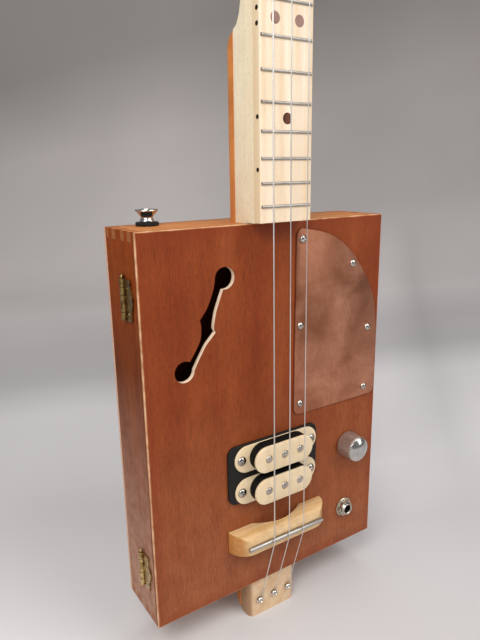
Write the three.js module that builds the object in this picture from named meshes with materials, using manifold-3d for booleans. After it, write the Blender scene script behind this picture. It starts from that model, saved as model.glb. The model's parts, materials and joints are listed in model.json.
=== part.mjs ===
// A three-string cigar box guitar with a through neck, a pickup and a hinged wooden box.
// Millimetres. X runs across the strings, -Y is the playing side and +Z runs up the neck.
// The origin is the centre of the box's flat back.

import * as THREE from 'three';
import { mergeVertices } from 'three/addons/utils/BufferGeometryUtils.js';
import Module from 'manifold-3d';

const wasm = await Module();
wasm.setup();

// Clearances and shared values
const seatGap = 0.3;          // between parts that are screwed or laid on each other
const glueLine = 0.2;         // between glued pieces of wood
const holeGap = 0.35;         // round a screw or shaft in its hole
const cutOver = 1;            // how far a cutter runs past the piece it cuts

// Box: a front frame and a rear tray, hinged along the left side
const boxWidth = 189;
const boxLength = 256;
const boxDepth = 46;
const frontThickness = 3.2;
const backThickness = 2.6;
const wallThickness = 6;
const seamDepth = 17.3;       // from the front face to the middle of the seam
const seamGap = 0.3;
const frontEdgeBevel = 0.4;

// Depths between which the end pieces' fingers reach through the side walls, as shares of the box's depth
const fingerSpanShares = [[0.122, 0.23], [0.335, 0.439], [0.609, 0.73], [0.839, 0.913]];

// Sound hole in the shape of a bent slot between two round eyes
const upperEyeShares = [-0.2016, 0.8777];   // across from the box's middle and up from its lower end
const upperEyeRadius = 6.97;
const lowerEyeShares = [-0.3587, 0.6674];
const lowerEyeRadius = 6.77;
const slotLeftUpperShares = [
  [0.778, 1.009], [0.731, 0.9], [0.66, 0.792], [0.562, 0.684], [0.455, 0.604], [0.387, 0.565]];
const slotLeftLowerShares = [
  [0.387, 0.565], [0.411, 0.519], [0.418, 0.467], [0.407, 0.391], [0.384, 0.33], [0.327, 0.27],
  [0.246, 0.2], [0.125, 0.103]];
const slotRightUpperShares = [
  [0.966, 0.883], [0.909, 0.811], [0.838, 0.714], [0.781, 0.629], [0.734, 0.517], [0.717, 0.439],
  [0.754, 0.393]];
const slotRightLowerShares = [
  [0.754, 0.393], [0.643, 0.33], [0.522, 0.263], [0.424, 0.181], [0.343, 0.11], [0.259, 0.029],
  [0.207, -0.026]];

// Hinges on the left side
const lowerHingeRise = 35.9;     // from the box's lower end to the lower hinge's middle
const upperHingeDrop = 39.5;     // from the box's upper end to the upper hinge's middle
const hingeHeight = 24.5;
const hingeBarrelRadius = 1.7;
const hingePinRadius = 0.8;
const hingePinHeadRadius = 1.35;
const hingePinHeadRise = 2.6;    // of the pin's round head over the barrel
const hingeLeafThickness = 1;
const hingeLeafReach = 9;        // from the barrel's middle to the leaf's straight edge
const hingeLeafBulge = 2.7;      // how much further the lobe of the leaf reaches
const hingeLobeHalf = 6.5;
const hingeStandOff = 0.2;       // between the barrel and the side of the box
const knuckleCount = 5;

// Neck
const scaleLength = 635;
const bridgeLine = 41.8;         // from the box's lower end to the end of the scale
const neckWidth = 38.5;
const tailWidth = 41.2;          // the beam narrows evenly from here to the box's upper end
const neckTop = -4.7;            // front of the neck wood above the box
const neckJoint = 15.3;          // where the darker strip meets the neck
const stripBack = 22;            // back of the darker strip
const tailLength = 34.5;         // how far the beam comes out below the box
const tailRounding = 12;
const tailTip = 1.2;             // thickness left at the very end of the rounding
const tailEdgeRadius = 5;
const shoulderGap = 0.4;         // between the box's upper end and the full depth of the neck
const heelStart = 356;           // where the back starts to sweep up into the playing neck
const playingBack = 9.9;         // back of the playing neck
const heelSweepShares = [
  [0, 0], [0.1, 0.035], [0.2, 0.17], [0.27, 0.415], [0.31, 0.59], [0.335, 0.71], [0.37, 0.82],
  [0.46, 0.925], [0.54, 0.965], [1, 1]];
const heelSweepLength = 34;
const neckEdgeRadius = 0.8;
const neckRoundWidth = 9;
const neckRoundDepth = 7;
const headLength = 140;
const headFace = -1;
const headBack = 12;
const headRamp = 14;
const headCornerRadius = 9;

// Fretboard, frets and nut
const fretboardFace = -11;
const fretboardThickness = 6;
const boardBelowLastFret = 9.5;
const fretCount = 18;
const fretInset = 2.2;
const fretCrownWidth = 1.9;
const fretCrownHeight = 1;
const nutThickness = 5;
const nutFace = -15.4;

// Strings
const stringSpacing = 12.8;
const stringRadii = [0.5, 0.42, 0.34];
const stringAtBridge = -16;
const stringAtNut = -14.5;
const stringSides = 6;
const stringWraps = 2.25;
const wrapClearance = 0.5;
const hookSteps = 7;
const wrapStepsPerTurn = 10;

// Tail screws that hold the strings' ends
const tailScrewZ = -18.8;
const tailScrewShift = 0.1;
const tailScrewShank = 1.5;
const tailScrewHead = 2.75;
const tailScrewDome = 2;
const tailScrewDepth = 9;

// Bridge and its rod
const bridgeBaseWidth = 80;
const bridgeBaseLow = 34.8;
const bridgeBaseHigh = 49.8;
const bridgeHeight = 12.5;
const bridgeShoulder = 14;       // width of each rounded end shoulder
const bridgeFrontDepth = 7.4;    // of the narrow front face, along the strings
const bridgeUpright = 4.6;       // height of the upright strip on the neck side
const bridgeSetback = 1.5;       // of the rod behind the end of the scale
const archHalfWidth = 20.7;
const archHeight = 7;
const rodRadius = 1.6;
const rodLength = 64;

// Pickup
const pickupCentreX = -1;
const pickupCentreZ = 90.2;
const baseLength = 74.8;
const baseWidth = 42.2;
const baseShiftX = -1.4;         // of the base's middle from the bobbins' middle
const baseShiftZ = 0.9;
const baseCorner = 6;
const baseThickness = 1.8;
const bobbinPitch = 23.5;
const earLength = 69;
const earWidth = 19;
const earThickness = 1.2;
const flangeLength = 51.3;
const flangeWidth = 18.4;
const flangeThickness = 2;
const flangeBevel = 0.5;
const bobbinFace = -12.4;
const coilLength = 49.5;
const coilWidth = 19.3;
const coreWidth = 7;
const coreLength = 38;
const poleRadius = 2.3;
const poleProud = 0.5;
const poleSpacing = 13.15;
const pickupScrewX = 29.4;
const pickupScrewShank = 1.2;
const pickupScrewHead = 2.8;
const pickupScrewDome = 1.9;
const pickupScrewDepth = 3;

// Pickguard
const guardThickness = 1;
const guardCorner = 5;
const guardEdgeShares = { left: 0.0788, top: 0.1138, right: 0.4884 };   // of the box's width from its middle
const guardTopDrop = 5.2;        // below the box's upper end
const guardBottomZ = 121.8;
const guardCurveShares = [
  [1, 0.388], [0.955, 0.566], [0.832, 0.716], [0.63, 0.864], [0.385, 0.958]];
const guardScrewShares = [
  [0.083, 0.946], [0.667, 0.79], [0.066, 0.496], [0.88, 0.412], [0.858, 0.054], [0.07, 0.061]];
const guardScrewHead = 2.7;
const guardScrewDome = 1.8;
const guardScrewShank = 1.1;
const guardScrewDepth = 2.6;

// Volume control
const potPlaceShare = 0.3545;    // of the box's width from its middle
const potZ = 85.2;
const knobRadius = 9.6;
const knobBaseRadius = 10.2;
const knobHeight = 13.4;
const knobDome = 2.6;
const knobLift = 0.8;
const knobRecessRadius = 7.7;
const knobRecessDepth = 3;
const knobGrooves = 20;
const knobGrooveDepth = 0.35;
const potShaftRadius = 3;
const potBushingRadius = 4.7;
const potBushingReach = 2.4;
const potCanRadius = 12;
const potCanDepth = 9.5;
const potShaftReach = 12.6;
const potLugSpacing = 5;
const potLugWidth = 2.2;
const potLugLength = 7;
const potLugThickness = 0.8;
const potNutWidth = 12;
const potNutThickness = 1.9;

// Output jack
const jackPlaceShare = 0.3476;   // of the box's width from its middle
const jackZ = 31.5;
const jackBore = 3.3;
const jackBarrelRadius = 4.7;
const jackBarrelReach = 5.7;
const jackFlangeRadius = 8;
const jackFlangeThickness = 2;
const jackFrameReach = 15;
const jackFrameThickness = 1;
const jackFrameWidth = 8;
const jackWasherRadius = 7.4;
const jackWasherThickness = 0.7;
const jackNutWidth = 11.5;
const jackNutThickness = 2.4;
const jackContactRise = 5.2;
const jackContactThickness = 0.5;
const jackContactDip = 1.6;

// Leads inside the box
const leadRadius = 1.1;
const leadHoleReach = 31;        // from the pickup's middle
const leadSides = 6;
const leadSteps = 26;

// Strap button on the upper end
const strapPlaceShare = -0.381;  // of the box's width from its middle
const strapDepth = 32.6;
const feltRadius = 7.05;
const feltThickness = 2;
const strapBaseRadius = 4.3;
const strapWaistRadius = 3.5;
const strapRimRadius = 7;
const strapHeight = 7.3;
const strapScrewHead = 3.6;
const strapScrewShank = 1.8;
const strapScrewLength = 16;

// Tuning machines
const postX = 9.5;
const firstPost = 36;
const postPitch = 30;
const postRadius = 3;
const postHeight = 12;
const gearTeeth = 15;
const gearModule = 0.8;
const gearThickness = 3;
const wormPitchRadius = 2.6;
const toothAddendum = 0.6;
const toothDedendum = 0.9;
const toothThickness = 0.9;
const flankSlope = 0.364;
const wormTurns = 2.6;
const wormStepsPerTurn = 8;
const wormShaftRadius = 1.5;
const plateThickness = 1.2;
const plateHalfWidth = 8;
const plateUnderWorm = 4.5;
const wormEarThickness = 1.2;
const wormEarHalf = 3;
const buttonStart = 14;
const buttonLength = 13;
const buttonWidth = 17;
const buttonThickness = 5.5;
const buttonBevel = 1.2;

// Finishes
const finishes = {
  frontVeneer: [0x96492b, 0.55, 0],
  cedar: [0x7d3515, 0.6, 0],
  maple: [0xf2e2c4, 0.5, 0],
  stripWood: [0xc0703a, 0.5, 0],
  bridgeWood: [0xe2bf86, 0.5, 0],
  bone: [0xe9e0c9, 0.4, 0],
  steel: [0xb9bbbd, 0.3, 1],
  chrome: [0xd6d8da, 0.12, 1],
  brass: [0x8d7a45, 0.4, 1],
  copper: [0xa9745a, 0.45, 1],
  blackPlastic: [0x17181a, 0.5, 0],
  creamPlastic: [0xe6cfa6, 0.4, 0],
  blackTape: [0x0d0d0e, 0.7, 0],
  blackFelt: [0x101010, 0.95, 0],
  wire: [0x2a2a2c, 0.6, 0],
};

// Turning three.js shapes into solids and back

function toSolid(geometry) {
  const plain = geometry.clone();
  plain.deleteAttribute('normal');
  plain.deleteAttribute('uv');
  const merged = mergeVertices(plain, 1e-4);
  const index = Uint32Array.from(merged.index.array);
  const mesh = { numProp: 3, vertProperties: Float32Array.from(merged.attributes.position.array) };
  const solid = new wasm.Manifold(new wasm.Mesh({ ...mesh, triVerts: index }));
  if (solid.volume() > 0) {
    return solid;
  }
  for (let i = 0; i < index.length; i += 3) {
    [index[i], index[i + 1]] = [index[i + 1], index[i]];
  }
  return new wasm.Manifold(new wasm.Mesh({ ...mesh, triVerts: index }));
}

function toGeometry(solid) {
  const mesh = solid.getMesh();
  const geometry = new THREE.BufferGeometry();
  geometry.setAttribute('position', new THREE.BufferAttribute(mesh.vertProperties, 3));
  geometry.setIndex(new THREE.BufferAttribute(mesh.triVerts, 1));
  geometry.computeVertexNormals();
  return geometry;
}

function addPart(group, name, solid, finish) {
  const [color, roughness, metalness] = finishes[finish];
  const material = new THREE.MeshStandardMaterial({ color, roughness, metalness });
  const mesh = new THREE.Mesh(toGeometry(solid), material);
  mesh.name = name;
  group.add(mesh);
}

function joined(solids) {
  return solids.reduce((whole, piece) => whole.add(piece));
}

// Basic solids

function block(x0, x1, y0, y1, z0, z1) {
  const box = new THREE.BoxGeometry(x1 - x0, y1 - y0, z1 - z0);
  box.translate((x0 + x1) / 2, (y0 + y1) / 2, (z0 + z1) / 2);
  return toSolid(box);
}

const alongX = new THREE.Matrix4().makeRotationZ(-Math.PI / 2);
const alongZ = new THREE.Matrix4().makeRotationX(Math.PI / 2);

function rodAlongX(radius, x0, x1, y, z, sides) {
  const bar = new THREE.CylinderGeometry(radius, radius, x1 - x0, sides);
  bar.applyMatrix4(alongX);
  bar.translate((x0 + x1) / 2, y, z);
  return toSolid(bar);
}

function rodAlongY(radius, x, y0, y1, z, sides) {
  const bar = new THREE.CylinderGeometry(radius, radius, y1 - y0, sides);
  bar.translate(x, (y0 + y1) / 2, z);
  return toSolid(bar);
}

function rodAlongZ(radius, x, y, z0, z1, sides) {
  const bar = new THREE.CylinderGeometry(radius, radius, z1 - z0, sides);
  bar.applyMatrix4(alongZ);
  bar.translate(x, y, (z0 + z1) / 2);
  return toSolid(bar);
}

// A profile of [radius, depth] points turned about a line along Y.
function turnedAlongY(profile, sides) {
  const points = profile.map(([radius, depth]) => new THREE.Vector2(radius, depth));
  return toSolid(new THREE.LatheGeometry(points, sides));
}

// A profile of [radius, height] points turned about a line along Z.
function turnedAlongZ(profile, sides) {
  const points = profile.map(([radius, height]) => new THREE.Vector2(radius, height));
  const lathe = new THREE.LatheGeometry(points, sides);
  lathe.applyMatrix4(alongZ);
  return toSolid(lathe);
}

const acrossBasis = new THREE.Matrix4().makeBasis(
  new THREE.Vector3(0, 1, 0), new THREE.Vector3(0, 0, 1), new THREE.Vector3(1, 0, 0));
const depthBasis = new THREE.Matrix4().makeBasis(
  new THREE.Vector3(1, 0, 0), new THREE.Vector3(0, 0, 1), new THREE.Vector3(0, -1, 0));

// A shape drawn in Y and Z, given thickness from x0 to x1.
function extrudedAcross(shape, x0, x1, curveSegments = 8) {
  const body = new THREE.ExtrudeGeometry(shape, { depth: x1 - x0, bevelEnabled: false, curveSegments });
  body.applyMatrix4(acrossBasis);
  body.translate(x0, 0, 0);
  return toSolid(body);
}

// A shape drawn in X and Z, given thickness from y0 to y1, with an optional bevel round its edges.
function extrudedDeep(shape, y0, y1, curveSegments = 8, bevel = 0) {
  const body = new THREE.ExtrudeGeometry(shape, {
    depth: y1 - y0 - 2 * bevel,
    curveSegments,
    bevelEnabled: bevel > 0,
    bevelThickness: bevel,
    bevelSize: bevel,
    bevelOffset: -bevel,
    bevelSegments: 1,
  });
  body.applyMatrix4(depthBasis);
  body.translate(0, y1 - bevel, 0);
  return toSolid(body);
}

// A shape drawn in X and Y, given thickness from z0 to z1.
function extrudedUp(shape, z0, z1, curveSegments = 8) {
  const body = new THREE.ExtrudeGeometry(shape, { depth: z1 - z0, bevelEnabled: false, curveSegments });
  body.translate(0, 0, z0);
  return toSolid(body);
}

function polygon(points) {
  return new THREE.Shape(points.map(([a, b]) => new THREE.Vector2(a, b)));
}

// The same outline as straight steps, without points that fall on top of each other.
function steppedOutline(shape, divisions) {
  const points = shape.getPoints(divisions);
  return new THREE.Shape(points.filter((point, place) => (
    point.distanceTo(points[(place + 1) % points.length]) > glueLine / 4)));
}

function racetrack(length, width, x = 0, z = 0) {
  const reach = length / 2 - width / 2;
  const shape = new THREE.Shape();
  shape.absarc(x + reach, z, width / 2, -Math.PI / 2, Math.PI / 2, false);
  shape.absarc(x - reach, z, width / 2, Math.PI / 2, 3 * Math.PI / 2, false);
  shape.closePath();
  return shape;
}

function roundedRectangle(x0, x1, z0, z1, radius) {
  const shape = new THREE.Shape();
  shape.absarc(x1 - radius, z0 + radius, radius, -Math.PI / 2, 0, false);
  shape.absarc(x1 - radius, z1 - radius, radius, 0, Math.PI / 2, false);
  shape.absarc(x0 + radius, z1 - radius, radius, Math.PI / 2, Math.PI, false);
  shape.absarc(x0 + radius, z0 + radius, radius, Math.PI, 3 * Math.PI / 2, false);
  shape.closePath();
  return shape;
}

function hexagon(width, x, z) {
  const corner = width / Math.sqrt(3);
  const points = [0, 1, 2, 3, 4, 5].map((side) => {
    const angle = side * Math.PI / 3;
    return [x + corner * Math.cos(angle), z + corner * Math.sin(angle)];
  });
  return polygon(points);
}

// Rings of points with equal counts, joined into one closed skin with flat ends.
function loft(rings) {
  const count = rings[0].length;
  const positions = rings.flat(2);
  const index = [];
  for (let r = 0; r + 1 < rings.length; r += 1) {
    for (let i = 0; i < count; i += 1) {
      const a = r * count + i;
      const b = r * count + (i + 1) % count;
      index.push(a, b, b + count, a, b + count, a + count);
    }
  }
  const last = (rings.length - 1) * count;
  for (let i = 1; i + 1 < count; i += 1) {
    index.push(0, i + 1, i, last, last + i, last + i + 1);
  }
  const geometry = new THREE.BufferGeometry();
  geometry.setAttribute('position', new THREE.Float32BufferAttribute(positions, 3));
  geometry.setIndex(index);
  return toSolid(geometry);
}

// A curve that passes through its stations one after another, however far apart they lie.
class StationCurve extends THREE.Curve {
  constructor(stations) {
    super();
    this.stations = stations;
  }

  getPoint(t, target = new THREE.Vector3()) {
    const place = Math.min(Math.max(t, 0), 1) * (this.stations.length - 1);
    const first = Math.min(Math.floor(place), this.stations.length - 2);
    return target.lerpVectors(this.stations[first], this.stations[first + 1], place - first);
  }

  getPointAt(u, target) {
    return this.getPoint(u, target);
  }

  getTangentAt(u, target) {
    return this.getTangent(u, target);
  }
}

function circleShape(radius, sides) {
  const points = Array.from({ length: sides }, (unused, side) => {
    const angle = 2 * Math.PI * side / sides;
    return [radius * Math.cos(angle), radius * Math.sin(angle)];
  });
  return polygon(points);
}

function tubeThrough(stations, radius, sides) {
  const path = new StationCurve(stations.map(([x, y, z]) => new THREE.Vector3(x, y, z)));
  const steps = stations.length - 1;
  return toSolid(new THREE.ExtrudeGeometry(circleShape(radius, sides), { steps, extrudePath: path }));
}

function smoothTube(points, radius, sides, steps) {
  const path = new THREE.CatmullRomCurve3(points.map(([x, y, z]) => new THREE.Vector3(x, y, z)));
  return toSolid(new THREE.ExtrudeGeometry(circleShape(radius, sides), { steps, extrudePath: path }));
}

// A round-headed screw that stands along Y, with its head's flat side at seatY and its point at +Y.
function domedScrew(x, z, seatY, head, dome, shank, reach) {
  const profile = [
    [0, seatY - dome],
    [head * 0.45, seatY - dome * 0.9],
    [head * 0.8, seatY - dome * 0.55],
    [head, seatY - dome * 0.12],
    [head, seatY],
    [shank, seatY],
    [shank, seatY + reach - shank],
    [0, seatY + reach],
  ];
  return turnedAlongY(profile, 12).translate([x, 0, z]);
}

// Values that several pieces share
const halfBox = boxWidth / 2;
const halfNeck = neckWidth / 2;
const halfTail = tailWidth / 2;
const beamTop = frontThickness + seatGap;
const potX = potPlaceShare * boxWidth;
const jackX = jackPlaceShare * boxWidth;
const strapX = strapPlaceShare * boxWidth;
const leadHoleX = pickupCentreX + leadHoleReach;
const frontWallStart = frontThickness + glueLine;
const frontWallEnd = seamDepth - seamGap / 2;
const trayWallStart = seamDepth + seamGap / 2;
const trayWallEnd = boxDepth - backThickness - glueLine;
const nutZ = bridgeLine + scaleLength;
const headTip = nutZ + nutThickness + headLength;
const tabInner = halfBox - wallThickness - glueLine;
const screwHoleSides = 10;

// Box

// Depth ranges of the fingers within one frame; the seam cuts through a finger where it meets one.
function fingerSpans(start, end) {
  return fingerSpanShares
    .map(([low, high]) => [Math.max(low * boxDepth, start), Math.min(high * boxDepth, end)])
    .filter(([low, high]) => high > low);
}

// A side wall between depths y0 and y1, cut at both ends for the end pieces' fingers.
function sideWall(outer, inner, y0, y1) {
  let wall = block(Math.min(outer, inner), Math.max(outer, inner), y0, y1, 0, boxLength);
  const pocket = wallThickness + glueLine;
  const sideCut = [Math.min(outer, inner) - cutOver, Math.max(outer, inner) + cutOver];
  for (const [low, high] of fingerSpans(y0, y1)) {
    const lowCut = low > y0 ? low - glueLine / 2 : low - cutOver;
    const highCut = high < y1 ? high + glueLine / 2 : high + cutOver;
    wall = wall.subtract(block(...sideCut, lowCut, highCut, -cutOver, pocket));
    wall = wall.subtract(block(...sideCut, lowCut, highCut, boxLength - pocket, boxLength + cutOver));
  }
  return wall;
}

// An end piece from x0 to x1 whose fingers reach out to the box's sides where it touches them.
function endWall(x0, x1, y0, y1, z0, z1) {
  const pieces = [block(Math.max(x0, -tabInner), Math.min(x1, tabInner), y0, y1, z0, z1)];
  for (const [low, high] of fingerSpans(y0, y1)) {
    const tabLow = low > y0 ? low + glueLine / 2 : low;
    const tabHigh = high < y1 ? high - glueLine / 2 : high;
    if (x0 <= -halfBox) {
      pieces.push(block(-halfBox, -tabInner + cutOver, tabLow, tabHigh, z0, z1));
    }
    if (x1 >= halfBox) {
      pieces.push(block(tabInner - cutOver, halfBox, tabLow, tabHigh, z0, z1));
    }
  }
  return joined(pieces);
}

function soundHoleCutter() {
  const [[upperEyeX, upperEyeZ], [lowerEyeX, lowerEyeZ]] = [upperEyeShares, lowerEyeShares].map(
    ([x, z]) => [x * boxWidth, z * boxLength]);
  const across = upperEyeX - lowerEyeX;
  const along = upperEyeZ - lowerEyeZ;
  const place = ([x, z]) => new THREE.Vector2(lowerEyeX + x * across, lowerEyeZ + z * along);
  const outline = new THREE.Shape();
  outline.moveTo(upperEyeX, upperEyeZ);
  outline.lineTo(...place(slotLeftUpperShares[0]).toArray());
  outline.splineThru(slotLeftUpperShares.slice(1).map(place));
  outline.splineThru(slotLeftLowerShares.slice(1).map(place));
  outline.lineTo(lowerEyeX, lowerEyeZ);
  outline.lineTo(...place(slotRightLowerShares.at(-1)).toArray());
  outline.splineThru(slotRightLowerShares.slice(0, -1).reverse().map(place));
  outline.splineThru(slotRightUpperShares.slice(0, -1).reverse().map(place));
  outline.closePath();
  const low = -cutOver;
  const high = frontThickness + cutOver;
  return joined([
    extrudedDeep(steppedOutline(outline, 3), low, high),
    rodAlongY(upperEyeRadius, upperEyeX, low, high, upperEyeZ, 28),
    rodAlongY(lowerEyeRadius, lowerEyeX, low, high, lowerEyeZ, 28),
  ]);
}

const guardLeftX = guardEdgeShares.left * boxWidth;
const guardTopX = guardEdgeShares.top * boxWidth;
const guardRightX = guardEdgeShares.right * boxWidth;
const guardTopZ = boxLength - guardTopDrop;

const guardScrewPlaces = guardScrewShares.map(([x, z]) => [
  guardLeftX + x * (guardRightX - guardLeftX),
  guardBottomZ + z * (guardTopZ - guardBottomZ),
]);

const pickupScrewPlaces = [-1, 1].flatMap((side) => [-1, 1].map((row) => [
  pickupCentreX + side * pickupScrewX,
  pickupCentreZ + row * bobbinPitch / 2,
]));

function buildFrontPanel() {
  const outline = polygon([[-halfBox, 0], [halfBox, 0], [halfBox, boxLength], [-halfBox, boxLength]]);
  let panel = extrudedDeep(outline, 0, frontThickness, 1, frontEdgeBevel);
  const low = -cutOver;
  const high = frontThickness + cutOver;
  panel = panel.subtract(soundHoleCutter());
  panel = panel.subtract(rodAlongY(potBushingRadius + holeGap, potX, low, high, potZ, 24));
  panel = panel.subtract(rodAlongY(jackBarrelRadius + holeGap, jackX, low, high, jackZ, 24));
  panel = panel.subtract(
    rodAlongY(leadRadius + holeGap, leadHoleX, low, high, pickupCentreZ, screwHoleSides));
  for (const [x, z] of guardScrewPlaces) {
    panel = panel.subtract(rodAlongY(guardScrewShank + holeGap, x, low, high, z, screwHoleSides));
  }
  for (const [x, z] of pickupScrewPlaces) {
    panel = panel.subtract(rodAlongY(pickupScrewShank + holeGap, x, low, high, z, screwHoleSides));
  }
  return panel;
}

const hingeCentres = [lowerHingeRise, boxLength - upperHingeDrop];

// Rebates in the edges of the tray's left wall where the hinges' inner leaves lie.
function hingeRebates() {
  const reach = hingeHeight / 2 + seatGap;
  return joined(hingeCentres.map((centre) => block(
    -halfBox - cutOver, -halfBox + wallThickness + cutOver,
    trayWallStart - cutOver, trayWallStart + hingeLeafThickness + seatGap,
    centre - reach, centre + reach)));
}

// Half the width of the beam at height z: it narrows evenly from the tail to the box's upper end.
function beamHalf(z) {
  const share = Math.min((z + tailLength) / (boxLength + tailLength), 1);
  return halfTail + (halfNeck - halfTail) * share;
}

// Room in the tray's end pieces for the back of the beam.
function beamNotch(z0, z1) {
  const half = beamHalf(z0) + seatGap;
  return block(-half, half, trayWallStart - cutOver, stripBack + seatGap, z0 - cutOver, z1 + cutOver);
}

function buildBox(guitar) {
  const inner = halfBox - wallThickness;
  const front = [frontWallStart, frontWallEnd];
  const tray = [trayWallStart, trayWallEnd];
  const lower = [0, wallThickness];
  const upper = [boxLength - wallThickness, boxLength];
  const lowerSide = beamHalf(lower[0]) + glueLine;
  const upperSide = beamHalf(upper[0]) + glueLine;
  const strapHole = rodAlongZ(strapScrewShank + holeGap, strapX, strapDepth,
    boxLength - wallThickness - cutOver, boxLength + cutOver, 16);
  addPart(guitar, 'front_panel', buildFrontPanel(), 'frontVeneer');
  addPart(guitar, 'front_wall_left', sideWall(-halfBox, -inner, ...front), 'cedar');
  addPart(guitar, 'front_wall_right', sideWall(halfBox, inner, ...front), 'cedar');
  addPart(guitar, 'front_wall_top_left', endWall(-halfBox, -upperSide, ...front, ...upper), 'cedar');
  addPart(guitar, 'front_wall_top_right', endWall(upperSide, halfBox, ...front, ...upper), 'cedar');
  addPart(guitar, 'front_wall_bottom_left', endWall(-halfBox, -lowerSide, ...front, ...lower), 'cedar');
  addPart(guitar, 'front_wall_bottom_right', endWall(lowerSide, halfBox, ...front, ...lower), 'cedar');
  addPart(guitar, 'tray_wall_left', sideWall(-halfBox, -inner, ...tray).subtract(hingeRebates()), 'cedar');
  addPart(guitar, 'tray_wall_right', sideWall(halfBox, inner, ...tray), 'cedar');
  const trayTop = endWall(-halfBox, halfBox, ...tray, ...upper).subtract(beamNotch(...upper));
  const trayBottom = endWall(-halfBox, halfBox, ...tray, ...lower).subtract(beamNotch(...lower));
  addPart(guitar, 'tray_wall_top', trayTop.subtract(strapHole), 'cedar');
  addPart(guitar, 'tray_wall_bottom', trayBottom, 'cedar');
  addPart(guitar, 'back_panel',
    block(-halfBox, halfBox, trayWallEnd + glueLine, boxDepth, 0, boxLength), 'cedar');
}

// Hinges

const hingeX = -halfBox - hingeStandOff - hingeBarrelRadius;
const knuckleLength = hingeHeight / knuckleCount;

// Height ranges of a hinge's odd or even knuckles, with running room between neighbours.
function knuckleSpans(centre, parity) {
  const spans = [];
  for (let k = parity; k < knuckleCount; k += 2) {
    const low = centre - hingeHeight / 2 + k * knuckleLength;
    const lowGap = k > 0 ? seatGap / 2 : 0;
    const highGap = k + 1 < knuckleCount ? seatGap / 2 : 0;
    spans.push([low + lowGap, low + knuckleLength - highGap]);
  }
  return spans;
}

function knuckles(centre, parity) {
  return joined(knuckleSpans(centre, parity).map(([low, high]) => (
    rodAlongZ(hingeBarrelRadius, hingeX, seamDepth, low, high, 16))));
}

function hingePinBore(centre) {
  const low = centre - hingeHeight / 2 - cutOver;
  return rodAlongZ(hingePinRadius + seatGap, hingeX, seamDepth, low, low + hingeHeight + 2 * cutOver, 12);
}

// The leaf on the outside of the box, with the hinge's pin fixed in its knuckles.
function outerLeaf(centre) {
  const leafOut = -halfBox - seatGap - hingeLeafThickness;
  const low = centre - hingeHeight / 2;
  const high = centre + hingeHeight / 2;
  const straightEdge = seamDepth - hingeLeafReach;
  const shape = new THREE.Shape();
  shape.moveTo(seamDepth - hingeBarrelRadius / 2, low);
  shape.lineTo(straightEdge, low);
  shape.lineTo(straightEdge, centre - hingeLobeHalf);
  shape.quadraticCurveTo(straightEdge - 2 * hingeLeafBulge, centre, straightEdge, centre + hingeLobeHalf);
  shape.lineTo(straightEdge, high);
  shape.lineTo(seamDepth - hingeBarrelRadius / 2, high);
  shape.closePath();
  let leaf = extrudedAcross(shape, leafOut, leafOut + hingeLeafThickness, 6).add(knuckles(centre, 0));
  for (const [knuckleLow, knuckleHigh] of knuckleSpans(centre, 1)) {
    leaf = leaf.subtract(rodAlongZ(hingeBarrelRadius + seatGap, hingeX, seamDepth,
      knuckleLow - seatGap, knuckleHigh + seatGap, 16));
  }
  const headMiddle = high + hingePinHeadRise - hingePinHeadRadius;
  const pinHead = new THREE.SphereGeometry(hingePinHeadRadius, 12, 8);
  pinHead.translate(hingeX, seamDepth, headMiddle);
  return leaf.add(rodAlongZ(hingePinRadius, hingeX, seamDepth, low, headMiddle, 12)).add(toSolid(pinHead));
}

// The leaf that lies in the seam, free to turn on the pin.
function innerLeaf(centre) {
  const front = trayWallStart;
  const back = trayWallStart + hingeLeafThickness;
  const inner = -halfBox + wallThickness - seatGap;
  const pieces = [block(-halfBox, inner, front, back, centre - hingeHeight / 2, centre + hingeHeight / 2)];
  for (const [low, high] of knuckleSpans(centre, 1)) {
    pieces.push(block(hingeX + hingeBarrelRadius / 2, -halfBox + cutOver, front, back, low, high));
  }
  return joined([...pieces, knuckles(centre, 1)]).subtract(hingePinBore(centre));
}

function buildHinges(guitar) {
  const names = ['lower', 'upper'];
  hingeCentres.forEach((centre, place) => {
    addPart(guitar, `hinge_front_leaf_${names[place]}`, outerLeaf(centre), 'brass');
    addPart(guitar, `hinge_tray_leaf_${names[place]}`, innerLeaf(centre), 'brass');
  });
}

// Neck

// Depth of the neck's back at height z, with the rounded tail and the sweep of the heel.
function backAt(z) {
  const fromTail = z + tailLength;
  if (fromTail < tailRounding) {
    const rest = 1 - Math.max(fromTail, 0) / tailRounding;
    return beamTop + tailTip + (stripBack - beamTop - tailTip) * Math.sqrt(1 - rest * rest);
  }
  if (z <= heelStart) {
    return stripBack;
  }
  const along = Math.min((z - heelStart) / heelSweepLength, 1);
  const next = heelSweepShares.findIndex(([share]) => share >= along);
  const [a0, b0] = heelSweepShares[Math.max(next - 1, 0)];
  const [a1, b1] = heelSweepShares[next];
  const share = a1 > a0 ? b0 + (b1 - b0) * (along - a0) / (a1 - a0) : b1;
  return stripBack + (playingBack - stripBack) * share;
}

// Height at which the sweep of the heel reaches a given depth.
function heelHeightAt(depth) {
  const rise = (stripBack - depth) / (stripBack - playingBack);
  const next = heelSweepShares.findIndex(([, share]) => share >= rise);
  const [a0, b0] = heelSweepShares[next - 1];
  const [a1, b1] = heelSweepShares[next];
  return heelStart + heelSweepLength * (a0 + (a1 - a0) * (rise - b0) / (b1 - b0));
}

function tailStations() {
  return Array.from({ length: 9 }, (unused, step) => {
    const turn = step * Math.PI / 16;
    return -tailLength + tailRounding * (1 - Math.cos(turn));
  });
}

function heelStations() {
  return heelSweepShares.map(([share]) => heelStart + share * heelSweepLength);
}

// The beam's outline seen from the front, up to the height top.
function beamPlan(top) {
  return polygon([
    [-halfTail, -tailLength], [halfTail, -tailLength], [halfNeck, boxLength], [halfNeck, top],
    [-halfNeck, top], [-halfNeck, boxLength],
  ]);
}

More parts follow.
